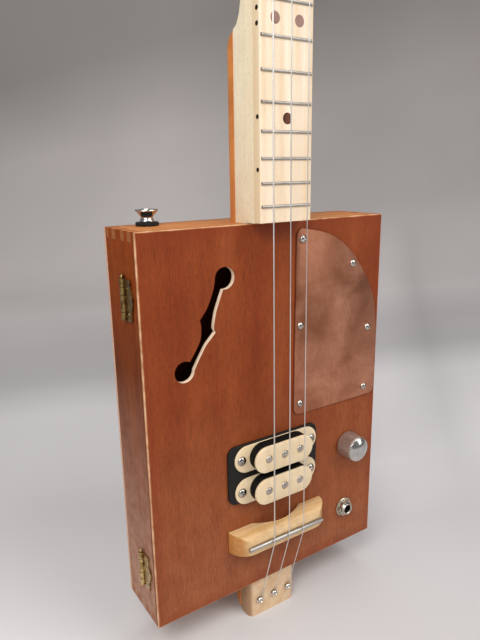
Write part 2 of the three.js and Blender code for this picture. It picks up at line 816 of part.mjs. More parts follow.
// The beam that runs through the box, with its rounded lower end.
function neckBeam() {
  const back = tailStations().map((z) => [Math.min(backAt(z), neckJoint), z]);
  const top = boxLength + nutThickness;
  const outline = [[beamTop, -tailLength], ...back, [neckJoint, top], [beamTop, top]];
  let beam = extrudedAcross(polygon(outline), -halfTail - cutOver, halfTail + cutOver);
  beam = beam.intersect(extrudedDeep(beamPlan(top), beamTop - cutOver, neckJoint + cutOver));
  for (const side of [-1, 1]) {
    const corner = new THREE.Shape();
    corner.moveTo(side * (halfTail + cutOver), beamTop - cutOver);
    corner.lineTo(side * (halfTail + cutOver), beamTop + tailEdgeRadius);
    corner.lineTo(side * halfTail, beamTop + tailEdgeRadius);
    for (let step = 1; step <= 5; step += 1) {
      const turn = step * Math.PI / 10;
      corner.lineTo(
        side * (halfTail - tailEdgeRadius + tailEdgeRadius * Math.cos(turn)),
        beamTop + tailEdgeRadius - tailEdgeRadius * Math.sin(turn));
    }
    corner.lineTo(side * (halfTail - tailEdgeRadius), beamTop - cutOver);
    corner.closePath();
    beam = beam.subtract(extrudedUp(corner, -tailLength - cutOver, -seatGap));
  }
  return beam;
}

// One cross-section of the neck above the box, with rounded back corners.
function neckSection(z, back, roundWidth, roundDepth) {
  const ring = [];
  const steps = 6;
  for (let step = 0; step <= steps; step += 1) {
    const turn = step * Math.PI / 2 / steps;
    ring.push([
      halfNeck - roundWidth + roundWidth * Math.cos(turn),
      back - roundDepth + roundDepth * Math.sin(turn),
      z,
    ]);
  }
  const mirrored = ring.map(([x, y, height]) => [-x, y, height]).reverse();
  return [[halfNeck, neckTop, z], ...ring, ...mirrored, [-halfNeck, neckTop, z]];
}

function upperNeck() {
  const soft = neckEdgeRadius;
  const stripEnd = heelHeightAt(neckJoint);
  const heelEnd = heelStart + heelSweepLength;
  const rings = [neckSection(boxLength + shoulderGap, neckJoint, 0, 0)];
  for (const z of heelStations()) {
    const share = Math.max((z - stripEnd) / (heelEnd - stripEnd), 0);
    const back = Math.min(backAt(z), neckJoint);
    rings.push(neckSection(z, back, neckRoundWidth * share, neckRoundDepth * share));
  }
  rings.push(neckSection(nutZ - headRamp, playingBack, neckRoundWidth, neckRoundDepth));
  rings.push(neckSection(
    nutZ + nutThickness, (playingBack + headBack) / 2, neckRoundWidth / 2, neckRoundDepth / 2));
  rings.push(neckSection(nutZ + nutThickness + headRamp, headBack, soft, soft));
  rings.push(neckSection(headTip, headBack, soft, soft));
  let neck = loft(rings);
  const faceStart = nutZ + nutThickness + seatGap;
  const faceCut = polygon([
    [neckTop - cutOver, faceStart], [neckTop, faceStart], [headFace, faceStart + headRamp],
    [headFace, headTip + cutOver], [neckTop - cutOver, headTip + cutOver],
  ]);
  neck = neck.subtract(extrudedAcross(faceCut, -halfNeck - cutOver, halfNeck + cutOver));
  const plan = roundedRectangle(-halfNeck, halfNeck, boxLength - headLength, headTip, headCornerRadius);
  return neck.intersect(extrudedDeep(plan, neckTop - cutOver, stripBack, 6));
}

const tunerPlaces = [
  { name: 'low', x: -postX, z: nutZ + firstPost, turned: true, string: 0 },
  { name: 'high', x: postX, z: nutZ + firstPost + postPitch, turned: false, string: 2 },
  { name: 'middle', x: -postX, z: nutZ + firstPost + 2 * postPitch, turned: true, string: 1 },
];

const stringX = [-stringSpacing, 0, stringSpacing];

function buildNeck(guitar) {
  let neck = neckBeam().add(upperNeck());
  for (const x of stringX) {
    neck = neck.subtract(rodAlongY(tailScrewShank + holeGap, x + tailScrewShift,
      beamTop - cutOver, beamTop + tailScrewDepth + seatGap, tailScrewZ, 12));
  }
  for (const { x, z } of tunerPlaces) {
    neck = neck.subtract(rodAlongY(postRadius + holeGap, x, headFace - cutOver, headBack + cutOver, z, 18));
  }
  addPart(guitar, 'neck', neck, 'maple');

  const stripFront = neckJoint + glueLine;
  const stations = [...tailStations(), ...heelStations()].filter((z) => backAt(z) > stripFront + seatGap);
  const back = stations.map((z) => [backAt(z), z]);
  const tip = heelHeightAt(stripFront);
  const outline = [[stripFront, stations[0]], ...back, [stripFront, tip]];
  const strip = extrudedAcross(polygon(outline), -halfTail - cutOver, halfTail + cutOver)
    .intersect(extrudedDeep(beamPlan(tip + cutOver), stripFront - cutOver, stripBack + cutOver));
  addPart(guitar, 'heel_strip', strip, 'stripWood');
}

function fretPlace(number) {
  return bridgeLine + scaleLength / 2 ** (number / 12);
}

function buildFretboard(guitar) {
  const back = fretboardFace + fretboardThickness;
  const low = fretPlace(fretCount) - boardBelowLastFret;
  let board = block(-halfNeck, halfNeck, fretboardFace, back, low, nutZ - seatGap);
  for (let number = 1; number <= fretCount; number += 1) {
    const half = halfNeck - fretInset;
    const crown = new THREE.CylinderGeometry(fretCrownWidth / 2, fretCrownWidth / 2, 2 * half, 10);
    crown.applyMatrix4(alongX);
    crown.scale(1, fretCrownHeight / (fretCrownWidth / 2), 1);
    crown.translate(0, fretboardFace, fretPlace(number));
    board = board.add(toSolid(crown));
  }
  addPart(guitar, 'fretboard', board, 'maple');

  let nut = block(-halfNeck, halfNeck, nutFace, back, nutZ, nutZ + nutThickness);
  stringX.forEach((x, place) => {
    const radius = stringRadii[place] + seatGap;
    nut = nut.subtract(block(x - radius, x + radius, nutFace - cutOver, stringAtNut + radius, nutZ - cutOver,
      nutZ + nutThickness + cutOver));
  });
  addPart(guitar, 'nut', nut, 'bone');
}

// Strings

const rodCentreY = stringAtBridge + stringRadii[0] + seatGap + rodRadius;
const rodZ = bridgeLine - bridgeSetback;

function stringRoute(place) {
  const radius = stringRadii[place];
  const x = stringX[place];
  const screwX = x + tailScrewShift;
  const hookRadius = tailScrewShank + radius + seatGap;
  const hookY = beamTop - seatGap - radius;
  const stations = [];
  for (let step = 0; step <= hookSteps; step += 1) {
    const turn = -Math.PI + Math.PI * step / hookSteps;
    stations.push([screwX + hookRadius * Math.cos(turn), hookY, tailScrewZ + hookRadius * Math.sin(turn)]);
  }
  const leaveZ = tailScrewZ + tailScrewHead + radius;
  stations.push([screwX + hookRadius, hookY, leaveZ]);
  const bend = rodRadius + seatGap + radius;
  const drop = Math.atan2(hookY - rodCentreY + bend, rodZ - leaveZ);
  for (const share of [1, 0.5, 0]) {
    stations.push([x, rodCentreY - bend * Math.cos(share * drop), rodZ - bend * Math.sin(share * drop)]);
  }
  stations.push([x, stringAtNut, nutZ + nutThickness / 4]);
  stations.push([x, stringAtNut + seatGap / 2, nutZ + nutThickness + seatGap]);
  const tuner = tunerPlaces[place === 0 ? 0 : 3 - place];
  const wrapRadius = postRadius + radius + seatGap;
  const side = tuner.x < 0 ? 1 : -1;
  const wrapStart = headFace - postHeight / 2;
  const pitch = 2 * radius + wrapClearance;
  const wrapSteps = Math.round(stringWraps * wrapStepsPerTurn);
  for (let step = 0; step <= wrapSteps; step += 1) {
    const turn = 2 * Math.PI * step / wrapStepsPerTurn;
    stations.push([
      tuner.x + side * wrapRadius * Math.cos(turn),
      wrapStart + pitch * step / wrapStepsPerTurn,
      tuner.z + wrapRadius * Math.sin(turn),
    ]);
  }
  return stations;
}

function buildStrings(guitar) {
  ['low', 'middle', 'high'].forEach((name, place) => {
    const tube = tubeThrough(stringRoute(place), stringRadii[place], stringSides);
    addPart(guitar, `string_${name}`, tube, 'steel');
    const seat = beamTop - 2 * seatGap - 2 * stringRadii[0];
    const screw = domedScrew(stringX[place] + tailScrewShift, tailScrewZ, seat - seatGap,
      tailScrewHead, tailScrewDome, tailScrewShank, beamTop + tailScrewDepth - seat);
    addPart(guitar, `tail_screw_${name}`, screw, 'chrome');
  });
}

// Bridge

function buildBridge(guitar) {
  const foot = -seatGap;
  const top = foot - bridgeHeight;
  const halfBase = bridgeBaseWidth / 2;
  const halfTop = halfBase - bridgeShoulder;
  const outline = new THREE.Shape();
  outline.moveTo(-halfBase, foot);
  outline.absellipse(-halfTop, foot, bridgeShoulder, bridgeHeight, Math.PI, 1.5 * Math.PI, false, 0);
  outline.absellipse(halfTop, foot, bridgeShoulder, bridgeHeight, 1.5 * Math.PI, 2 * Math.PI, false, 0);
  outline.lineTo(archHalfWidth, foot);
  outline.quadraticCurveTo(0, foot - 2 * archHeight, -archHalfWidth, foot);
  outline.closePath();
  const crest = bridgeBaseLow + bridgeFrontDepth;
  const slopeFoot = foot - bridgeUpright;
  const slope = new THREE.Shape();
  slope.moveTo(top - cutOver, crest);
  slope.absellipse(slopeFoot, crest, slopeFoot - top, bridgeBaseHigh - crest, Math.PI, Math.PI / 2, true, 0);
  slope.lineTo(slopeFoot, bridgeBaseHigh + cutOver);
  slope.lineTo(top - cutOver, bridgeBaseHigh + cutOver);
  slope.closePath();
  const bridge = extrudedUp(steppedOutline(outline, 10), bridgeBaseLow, bridgeBaseHigh)
    .subtract(extrudedAcross(steppedOutline(slope, 8), -halfBase - cutOver, halfBase + cutOver))
    .subtract(rodAlongX(rodRadius + seatGap, -halfBase, halfBase, rodCentreY, rodZ, 16));
  addPart(guitar, 'bridge', bridge, 'bridgeWood');
  addPart(guitar, 'saddle_rod',
    rodAlongX(rodRadius, -rodLength / 2, rodLength / 2, rodCentreY, rodZ, 16), 'chrome');
}

// Pickup, drawn about its own centre on the front panel

function bobbinSolid(row) {
  const lowerSeat = -baseThickness - 2 * seatGap;
  const coreTop = bobbinFace + flangeThickness / 2;
  const middle = row * bobbinPitch / 2;
  const ears = racetrack(earLength, earWidth, 0, middle);
  const core = racetrack(coreLength, coreWidth, 0, middle);
  const flange = racetrack(flangeLength, flangeWidth, 0, middle);
  const pieces = [
    extrudedDeep(ears, lowerSeat - earThickness, lowerSeat, 6, earThickness / 4),
    extrudedDeep(core, coreTop, lowerSeat - earThickness / 2, 6),
    extrudedDeep(flange, bobbinFace, bobbinFace + flangeThickness, 6, flangeBevel),
  ];
  for (const x of [-poleSpacing, 0, poleSpacing]) {
    pieces.push(rodAlongY(poleRadius, x, bobbinFace - poleProud, coreTop, middle, 12));
  }
  let bobbin = joined(pieces);
  for (const side of [-1, 1]) {
    bobbin = bobbin.subtract(rodAlongY(pickupScrewShank + holeGap, side * pickupScrewX,
      lowerSeat - earThickness - cutOver, lowerSeat + cutOver, middle, screwHoleSides));
  }
  return bobbin;
}

function coilSolid(row) {
  const middle = row * bobbinPitch / 2;
  const front = bobbinFace + flangeThickness + seatGap;
  const back = -baseThickness - 3 * seatGap - earThickness;
  const outer = racetrack(coilLength, coilWidth, 0, middle);
  const inner = racetrack(coreLength + 2 * seatGap, coreWidth + 2 * seatGap, 0, middle);
  const window = extrudedDeep(inner, front - cutOver, back + cutOver, 6);
  return extrudedDeep(outer, front, back, 6).subtract(window);
}

function buildPickup(guitar) {
  const pickup = new THREE.Group();
  pickup.position.set(pickupCentreX, 0, pickupCentreZ);
  guitar.add(pickup);
  const plan = roundedRectangle(baseShiftX - baseLength / 2, baseShiftX + baseLength / 2,
    baseShiftZ - baseWidth / 2, baseShiftZ + baseWidth / 2, baseCorner);
  let base = extrudedDeep(plan, -seatGap - baseThickness, -seatGap, 6, flangeBevel);
  for (const [x, z] of pickupScrewPlaces) {
    base = base.subtract(rodAlongY(pickupScrewShank + holeGap, x - pickupCentreX,
      -seatGap - baseThickness - cutOver, cutOver, z - pickupCentreZ, screwHoleSides));
  }
  addPart(pickup, 'pickup_base', base, 'blackPlastic');
  const seat = -baseThickness - 3 * seatGap - earThickness;
  [['bridge_side', -1], ['neck_side', 1]].forEach(([name, row]) => {
    addPart(pickup, `bobbin_${name}`, bobbinSolid(row), 'creamPlastic');
    addPart(pickup, `coil_${name}`, coilSolid(row), 'blackTape');
    [['left', -1], ['right', 1]].forEach(([sideName, side]) => {
      const screw = domedScrew(side * pickupScrewX, row * bobbinPitch / 2, seat,
        pickupScrewHead, pickupScrewDome, pickupScrewShank, pickupScrewDepth - seat);
      addPart(pickup, `pickup_screw_${name}_${sideName}`, screw, 'chrome');
    });
  });
}

// Pickguard with its round-headed screws

function buildPickguard(guitar) {
  const width = guardRightX - guardLeftX;
  const height = guardTopZ - guardBottomZ;
  const place = ([x, z]) => new THREE.Vector2(guardLeftX + x * width, guardBottomZ + z * height);
  const shape = new THREE.Shape();
  const lowMiddle = guardBottomZ + guardCorner;
  shape.absarc(guardLeftX + guardCorner, lowMiddle, guardCorner, Math.PI, 3 * Math.PI / 2, false);
  shape.absarc(guardRightX - guardCorner, lowMiddle, guardCorner, -Math.PI / 2, 0, false);
  shape.lineTo(...place(guardCurveShares[0]).toArray());
  shape.splineThru([...guardCurveShares.slice(1).map(place), new THREE.Vector2(guardTopX, guardTopZ)]);
  shape.absarc(guardTopX, guardTopZ - guardCorner, guardCorner, Math.PI / 2, Math.PI, false);
  shape.closePath();
  const front = -seatGap - guardThickness;
  const pieces = [extrudedDeep(steppedOutline(shape, 5), front, -seatGap)];
  for (const [x, z] of guardScrewPlaces) {
    pieces.push(domedScrew(x, z, front + guardThickness / 4, guardScrewHead, guardScrewDome,
      guardScrewShank, guardScrewDepth - front));
  }
  addPart(guitar, 'pickguard', joined(pieces), 'copper');
}

// Volume control, drawn about its own shaft

function buildControl(guitar) {
  const control = new THREE.Group();
  control.position.set(potX, 0, potZ);
  guitar.add(control);

  const shaftBore = potShaftRadius + holeGap;
  const base = -knobLift;
  const cap = base - knobHeight;
  const shaftTip = base - potShaftReach;
  const knobProfile = [
    [0, cap - knobDome], [knobRadius * 0.5, cap - knobDome * 0.8], [knobRadius * 0.85, cap - knobDome * 0.3],
    [knobRadius * 0.97, cap], [knobRadius * 0.97, cap + knobDome / 2], [knobRadius, cap + knobDome],
    [knobBaseRadius, base], [knobRecessRadius, base], [knobRecessRadius, base - knobRecessDepth],
    [shaftBore, base - knobRecessDepth], [shaftBore, shaftTip - holeGap], [0, shaftTip - holeGap],
  ];
  let knob = turnedAlongY(knobProfile, 36);
  const groove = loft([[cap + knobDome, knobRadius], [base + cutOver, knobBaseRadius]].map(([y, radius]) => [
    [radius - knobGrooveDepth, y, 0], [radius + knobGrooveDepth, y, -2 * knobGrooveDepth],
    [radius + knobGrooveDepth, y, 2 * knobGrooveDepth]]));
  for (let turn = 0; turn < knobGrooves; turn += 1) {
    knob = knob.subtract(groove.rotate([0, 360 * turn / knobGrooves, 0]));
  }
  addPart(control, 'knob', knob, 'chrome');

  const canFront = frontThickness + seatGap;
  const shaftEnd = canFront + potCanDepth - 2 * potLugThickness;
  addPart(control, 'pot_shaft', rodAlongY(potShaftRadius, 0, shaftTip, shaftEnd, 0, 18), 'steel');

  const bodyProfile = [
    [shaftBore, -potBushingReach], [potBushingRadius, -potBushingReach], [potBushingRadius, canFront],
    [potCanRadius, canFront], [potCanRadius, canFront + potCanDepth], [0, canFront + potCanDepth],
    [0, shaftEnd + holeGap], [shaftBore, shaftEnd + holeGap], [shaftBore, -potBushingReach],
  ];
  const lugs = [-1, 0, 1].map((place) => block(
    place * potLugSpacing - potLugWidth / 2, place * potLugSpacing + potLugWidth / 2,
    canFront + potLugThickness, canFront + 2 * potLugThickness,
    -potCanRadius - potLugLength, -potCanRadius / 2));
  addPart(control, 'pot_body', joined([turnedAlongY(bodyProfile, 28), ...lugs]), 'steel');

  const nutFront = -seatGap - potNutThickness;
  const nut = extrudedDeep(hexagon(potNutWidth, 0, 0), nutFront, -seatGap)
    .subtract(rodAlongY(potBushingRadius + holeGap, 0, nutFront - cutOver, cutOver, 0, 24));
  addPart(control, 'pot_nut', nut, 'chrome');
}

// Output jack, drawn about its own bore

function buildJack(guitar) {
  const jack = new THREE.Group();
  jack.position.set(jackX, 0, jackZ);
  guitar.add(jack);

  const flangeFront = frontThickness + seatGap;
  const flangeBack = flangeFront + jackFlangeThickness;
  const frameEnd = flangeBack + jackFrameReach;
  const barrel = turnedAlongY([
    [jackBore, -jackBarrelReach], [jackBarrelRadius, -jackBarrelReach], [jackBarrelRadius, flangeFront],
    [jackFlangeRadius, flangeFront], [jackFlangeRadius, flangeBack], [jackBore, flangeBack],
    [jackBore, -jackBarrelReach],
  ], 24);
  const frame = block(
    -jackFrameWidth / 2, jackFrameWidth / 2,
    flangeBack - jackFlangeThickness / 2, frameEnd,
    -jackFlangeRadius + jackFrameThickness / 2, -jackFlangeRadius + 1.5 * jackFrameThickness);
  addPart(jack, 'jack_body', barrel.add(frame), 'steel');

  const rise = jackContactRise;
  const thin = jackContactThickness;
  const start = flangeBack + seatGap;
  const end = frameEnd;
  const dip = start + (end - start) * 0.8;
  const contactOutline = polygon([
    [start, jackFlangeRadius - thin], [start, rise], [dip, rise],
    [dip + jackContactDip / 2, rise - jackContactDip],
    [end, rise], [end, rise + thin], [dip + jackContactDip / 2, rise - jackContactDip + thin],
    [dip, rise + thin], [start + thin, rise + thin], [start + thin, jackFlangeRadius - thin],
  ]);
  addPart(jack, 'jack_contact',
    extrudedAcross(contactOutline, -jackFrameWidth / 4, jackFrameWidth / 4), 'brass');

  const washerFront = -seatGap - jackWasherThickness;
  const washer = rodAlongY(jackWasherRadius, 0, washerFront, -seatGap, 0, 28)
    .subtract(rodAlongY(jackBarrelRadius + holeGap, 0, washerFront - cutOver, cutOver, 0, 24));
  addPart(jack, 'jack_washer', washer, 'chrome');
  const nutBack = washerFront - glueLine;
  const nutFront = nutBack - jackNutThickness;
  const nut = extrudedDeep(hexagon(jackNutWidth, 0, 0), nutFront, nutBack)
    .subtract(rodAlongY(jackBarrelRadius + holeGap, 0, nutFront - cutOver, cutOver, 0, 24));
  addPart(jack, 'jack_nut', nut, 'chrome');
}

// Leads from the pickup to the control and from the control to the jack

function buildLeads(guitar) {
  const canFront = frontThickness + seatGap;
  const lugY = canFront + 1.5 * potLugThickness;
  const lugTip = potZ - potCanRadius - potLugLength;
  const underPanel = frontThickness + 4 * leadRadius;
  const deep = underPanel + 4 * leadRadius;
  const pickupLead = [
    [leadHoleX, -seatGap / 2, pickupCentreZ],
    [leadHoleX, frontThickness / 2, pickupCentreZ],
    [leadHoleX, frontThickness + leadRadius, pickupCentreZ],
    [leadHoleX + 2 * leadRadius, underPanel, pickupCentreZ - 4 * leadRadius],
    [(leadHoleX + potX) / 2 - potLugSpacing, deep, (pickupCentreZ + lugTip) / 2 - potLugLength],
    [potX - 2 * potLugSpacing, deep, lugTip - 3 * leadRadius - seatGap],
    [potX - potLugSpacing, lugY, lugTip - 2 * leadRadius],
    [potX - potLugSpacing, lugY, lugTip - seatGap],
  ];
  addPart(guitar, 'pickup_lead', smoothTube(pickupLead, leadRadius, leadSides, leadSteps), 'wire');

  const frameEnd = frontThickness + seatGap + jackFlangeThickness + jackFrameReach;
  const frameZ = jackZ - jackFlangeRadius + jackFrameThickness;
  const jackLead = [
    [potX + potLugSpacing, lugY, lugTip - seatGap],
    [potX + potLugSpacing, lugY, lugTip - 2 * leadRadius],
    [potX + 2 * potLugSpacing, deep, (lugTip + jackZ) / 2],
    [potX + 2 * potLugSpacing, frameEnd - 2 * leadRadius, jackZ],
    [jackX + jackFrameWidth / 2, frameEnd + 2 * leadRadius, frameZ],
    [jackX, frameEnd + leadRadius + seatGap, frameZ],
  ];
  addPart(guitar, 'jack_lead', smoothTube(jackLead, leadRadius, leadSides, leadSteps), 'wire');
}

// Strap button on its felt

function buildStrapButton(guitar) {
  const strap = new THREE.Group();
  strap.position.set(strapX, strapDepth, boxLength);
  guitar.add(strap);
  const bore = strapScrewShank + holeGap;
  const feltTop = seatGap + feltThickness;
  const felt = rodAlongZ(feltRadius, 0, 0, seatGap, feltTop, 28)
    .subtract(rodAlongZ(bore, 0, 0, -cutOver, feltTop + cutOver, 16));
  addPart(strap, 'strap_felt', felt, 'blackFelt');

  const foot = feltTop + seatGap;
  const top = foot + strapHeight;
  const sinkDepth = strapScrewHead - strapScrewShank;
  const button = turnedAlongZ([
    [bore, foot], [strapBaseRadius, foot], [strapBaseRadius, foot + strapHeight * 0.12],
    [strapWaistRadius, foot + strapHeight * 0.34], [strapWaistRadius, foot + strapHeight * 0.5],
    [strapRimRadius * 0.94, foot + strapHeight * 0.84], [strapRimRadius, foot + strapHeight * 0.9],
    [strapRimRadius, foot + strapHeight * 0.97], [strapRimRadius * 0.93, top],
    [strapScrewHead + holeGap, top], [bore, top - sinkDepth], [bore, foot],
  ], 24);
  addPart(strap, 'strap_button', button, 'chrome');

  const screwTop = top - seatGap / 2;
  const screw = turnedAlongZ([
    [0, screwTop - strapScrewLength - strapScrewShank], [strapScrewShank, screwTop - strapScrewLength],
    [strapScrewShank, screwTop - sinkDepth], [strapScrewHead, screwTop], [0, screwTop],
  ], 20);
  addPart(strap, 'strap_screw', screw, 'chrome');
}

// Tuning machines, each drawn about its own post with the button to the right

const gearPitchRadius = gearTeeth * gearModule / 2;
const toothPitch = Math.PI * gearModule;
const plateFront = headBack + seatGap;
const plateRear = plateFront + plateThickness;
const gearMiddle = plateRear + wormPitchRadius + toothAddendum + seatGap;
const gearFront = gearMiddle - gearThickness / 2;
const wormHeight = gearPitchRadius + wormPitchRadius;

function gearSolid() {
  const points = [];
  const stepAngle = 2 * Math.PI / gearTeeth;
  const root = gearPitchRadius - toothDedendum;
  const tip = gearPitchRadius + toothAddendum;
  const rootHalf = (toothThickness / 2 + toothDedendum * flankSlope) / root;
  const tipHalf = (toothThickness / 2 - toothAddendum * flankSlope) / tip;
  for (let tooth = 0; tooth < gearTeeth; tooth += 1) {
    const middle = Math.PI / 2 + (tooth + 0.5) * stepAngle;
    const corners = [[root, -rootHalf], [tip, -tipHalf], [tip, tipHalf], [root, rootHalf]];
    for (const [radius, offset] of corners) {
      points.push([radius * Math.cos(middle + offset), radius * Math.sin(middle + offset)]);
    }
  }
  return extrudedDeep(polygon(points), gearFront, gearFront + gearThickness);
}

// A right-handed thread about X whose middle turn crosses x = 0 where it meets the gear.
function wormThread() {
  const root = wormPitchRadius - toothDedendum;
  const tip = wormPitchRadius + toothAddendum;
  const sunk = root - toothAddendum / 2;
  const rootHalf = toothThickness / 2 + toothDedendum * flankSlope;
  const tipHalf = toothThickness / 2 - toothAddendum * flankSlope;
  const steps = Math.round(wormTurns * wormStepsPerTurn);
  const rings = [];
  for (let step = 0; step <= steps; step += 1) {
    const turns = (step - steps / 2) / wormStepsPerTurn;
    const angle = turns * 2 * Math.PI - Math.PI / 2;
    const x = turns * toothPitch;
    const at = (radius, shift) => [x + shift, radius * Math.cos(angle), radius * Math.sin(angle)];
    rings.push([at(sunk, -rootHalf), at(root, -rootHalf), at(tip, -tipHalf), at(tip, tipHalf),
      at(root, rootHalf), at(sunk, rootHalf)]);
  }
  return loft(rings);
}

function wormSolid() {
  const threadReach = wormTurns * toothPitch / 2 + toothThickness;
  const core = wormPitchRadius - toothDedendum;
  const earOuter = threadReach + 2 * seatGap + wormEarThickness;
  const pieces = [
    wormThread(),
    rodAlongX(core, -threadReach, threadReach, 0, 0, 12),
    rodAlongX(wormShaftRadius, -earOuter - wormEarThickness, buttonStart + buttonLength / 2, 0, 0, 12),
  ];
  const paddle = new THREE.Shape();
  const middle = buttonStart + buttonLength / 2;
  paddle.absellipse(middle, 0, buttonLength / 2, buttonWidth / 2, 0, 2 * Math.PI, false, 0);
  pieces.push(extrudedDeep(paddle, -buttonThickness / 2, buttonThickness / 2, 9, buttonBevel));
  return joined(pieces).translate([0, gearMiddle, wormHeight]);
}

function tunerPlate() {
  const threadReach = wormTurns * toothPitch / 2 + toothThickness;
  const earInner = threadReach + seatGap;
  const earTop = gearMiddle + wormEarHalf;
  const reach = earInner + wormEarThickness;
  let plate = extrudedDeep(
    roundedRectangle(-reach, reach, -plateHalfWidth, wormHeight + plateUnderWorm, plateThickness),
    plateFront, plateRear, 4);
  for (const side of [-1, 1]) {
    const near = Math.min(side * earInner, side * reach);
    plate = plate.add(block(near, near + wormEarThickness, plateRear - plateThickness / 2, earTop,
      wormHeight - wormEarHalf, wormHeight + wormEarHalf));
  }
  plate = plate.subtract(rodAlongX(wormShaftRadius + holeGap, -reach - cutOver, reach + cutOver,
    gearMiddle, wormHeight, 12));
  const postHole = rodAlongY(postRadius + holeGap, 0, plateFront - cutOver, plateRear + cutOver, 0, 18);
  return plate.subtract(postHole);
}

function postSolid() {
  const top = headFace - postHeight;
  const post = turnedAlongY([
    [0, top], [postRadius * 0.8, top], [postRadius, top + postRadius * 0.2],
    [postRadius, gearFront + gearThickness / 2], [0, gearFront + gearThickness / 2],
  ], 18);
  const gearRear = gearFront + gearThickness;
  const gearScrew = turnedAlongY([
    [0, gearFront + gearThickness / 2], [postRadius * 0.8, gearFront + gearThickness / 2],
    [postRadius * 0.8, gearRear + postRadius * 0.3], [0, gearRear + postRadius * 0.45],
  ], 14);
  return joined([post, gearSolid(), gearScrew]);
}

function buildTuners(guitar) {
  for (const { name, x, z, turned } of tunerPlaces) {
    const tuner = new THREE.Group();
    tuner.position.set(x, 0, z);
    tuner.rotation.y = turned ? Math.PI : 0;
    guitar.add(tuner);
    addPart(tuner, `tuner_plate_${name}`, tunerPlate(), 'chrome');
    addPart(tuner, `tuner_post_${name}`, postSolid(), 'steel');
    addPart(tuner, `tuner_button_${name}`, wormSolid(), 'chrome');
  }
}

// Assembly: drawn from the front face's lower edge, then moved to the centre of the back
const guitar = new THREE.Group();
guitar.position.set(0, -boxDepth, -boxLength / 2);
buildBox(guitar);
buildHinges(guitar);
buildNeck(guitar);
buildFretboard(guitar);
buildStrings(guitar);
buildBridge(guitar);
buildPickup(guitar);
buildPickguard(guitar);
buildControl(guitar);
buildJack(guitar);
buildLeads(guitar);
buildStrapButton(guitar);
buildTuners(guitar);

const model = new THREE.Group();
model.add(guitar);

export default model;
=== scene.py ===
import functools
import json
import math
from types import SimpleNamespace

import bmesh
import bpy
from mathutils import Matrix, Vector

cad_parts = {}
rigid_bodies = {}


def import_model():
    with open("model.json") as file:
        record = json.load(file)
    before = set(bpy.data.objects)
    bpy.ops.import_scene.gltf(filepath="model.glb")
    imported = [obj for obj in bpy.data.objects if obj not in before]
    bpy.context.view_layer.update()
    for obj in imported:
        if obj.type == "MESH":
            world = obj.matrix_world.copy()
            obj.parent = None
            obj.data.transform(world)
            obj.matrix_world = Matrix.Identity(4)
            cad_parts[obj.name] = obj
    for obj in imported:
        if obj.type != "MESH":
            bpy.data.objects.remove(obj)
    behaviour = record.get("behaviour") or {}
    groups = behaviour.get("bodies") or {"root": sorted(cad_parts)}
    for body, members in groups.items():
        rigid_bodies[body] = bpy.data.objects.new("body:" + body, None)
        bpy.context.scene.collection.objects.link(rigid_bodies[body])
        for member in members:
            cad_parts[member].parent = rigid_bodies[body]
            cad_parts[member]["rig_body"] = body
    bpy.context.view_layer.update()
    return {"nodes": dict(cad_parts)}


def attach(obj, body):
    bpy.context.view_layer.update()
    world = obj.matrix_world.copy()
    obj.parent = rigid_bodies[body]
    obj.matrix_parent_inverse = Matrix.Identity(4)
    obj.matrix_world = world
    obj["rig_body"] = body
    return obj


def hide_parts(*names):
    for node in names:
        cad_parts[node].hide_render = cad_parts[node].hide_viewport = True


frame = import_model()
print("frame loaded")

# Pieces are drawn in millimetres from the lower edge of the box's front face, then moved onto the frame,
# whose origin is the centre of the flat back.
boxSize = {"width": 189, "length": 256, "depth": 46, "front": 3.2}
toFrame = (Matrix.Diagonal((0.001, 0.001, 0.001, 1))
           @ Matrix.Translation((0, -boxSize["depth"], -boxSize["length"] / 2)))
scaleLine = {"low": 41.8, "length": 635}
nutZ = scaleLine["low"] + scaleLine["length"]
seatGap = 0.3   # between pieces laid on each other, as packed
hair = 0.02     # keeps a visible face off the one it would share


# Small tools

def srgb(code):
    parts = [int(code[i:i + 2], 16) / 255 for i in (1, 3, 5)]
    return tuple(c / 12.92 if c <= 0.04045 else ((c + 0.055) / 1.055) ** 2.4 for c in parts) + (1.0,)


def grey(value):
    return (value, value, value, 1)


# A stop's colour is four values or an sRGB code.
def setRamp(node, stops):
    ramp, stops = node.color_ramp, list(stops)
    while len(ramp.elements) > len(stops):
        ramp.elements.remove(ramp.elements[-1])
    while len(ramp.elements) < len(stops):
        ramp.elements.new(0.5)
    for element, (position, colour) in zip(ramp.elements, stops):
        element.position = position
        element.color = srgb(colour) if isinstance(colour, str) else colour


# One dictionary gives a node's settings, its ramp's stops and its inputs. An input is a value, a socket to
# link, or a node, which is linked by its first open output.
def addNode(tree, kind, given=None):
    node = tree.nodes.new("ShaderNode" + kind)
    for name, value in (given or {}).items():
        if isinstance(value, bpy.types.Node):
            value = next(socket for socket in value.outputs if socket.enabled)
        if isinstance(value, bpy.types.NodeSocket):
            tree.links.new(value, node.inputs[name])
        elif name == "stops":
            setRamp(node, value)
        elif isinstance(name, str) and hasattr(node, name):
            setattr(node, name, value)
        else:
            node.inputs[name].default_value = value
    return node


# The settings of a node that carries one range of values over to another.
def span(value, fromLow, fromHigh, toLow=0.0, toHigh=1.0):
    return {"Value": value, "From Min": fromLow, "From Max": fromHigh, "To Min": toLow, "To Max": toHigh}


materials = {}   # every one by its name
mixed = {"data_type": "RGBA"}
multiplied = {"data_type": "RGBA", "blend_type": "MULTIPLY", 0: 1.0}


# Gives back the function that adds a node to the new material.
def newMaterial(name):
    materials[name] = bpy.data.materials.new(name)
    materials[name].use_nodes = True
    materials[name].node_tree.nodes.clear()
    return functools.partial(addNode, materials[name].node_tree)


def dress(node, material):
    mesh = frame["nodes"][node].data
    mesh.materials.clear()
    mesh.materials.append(materials[material])


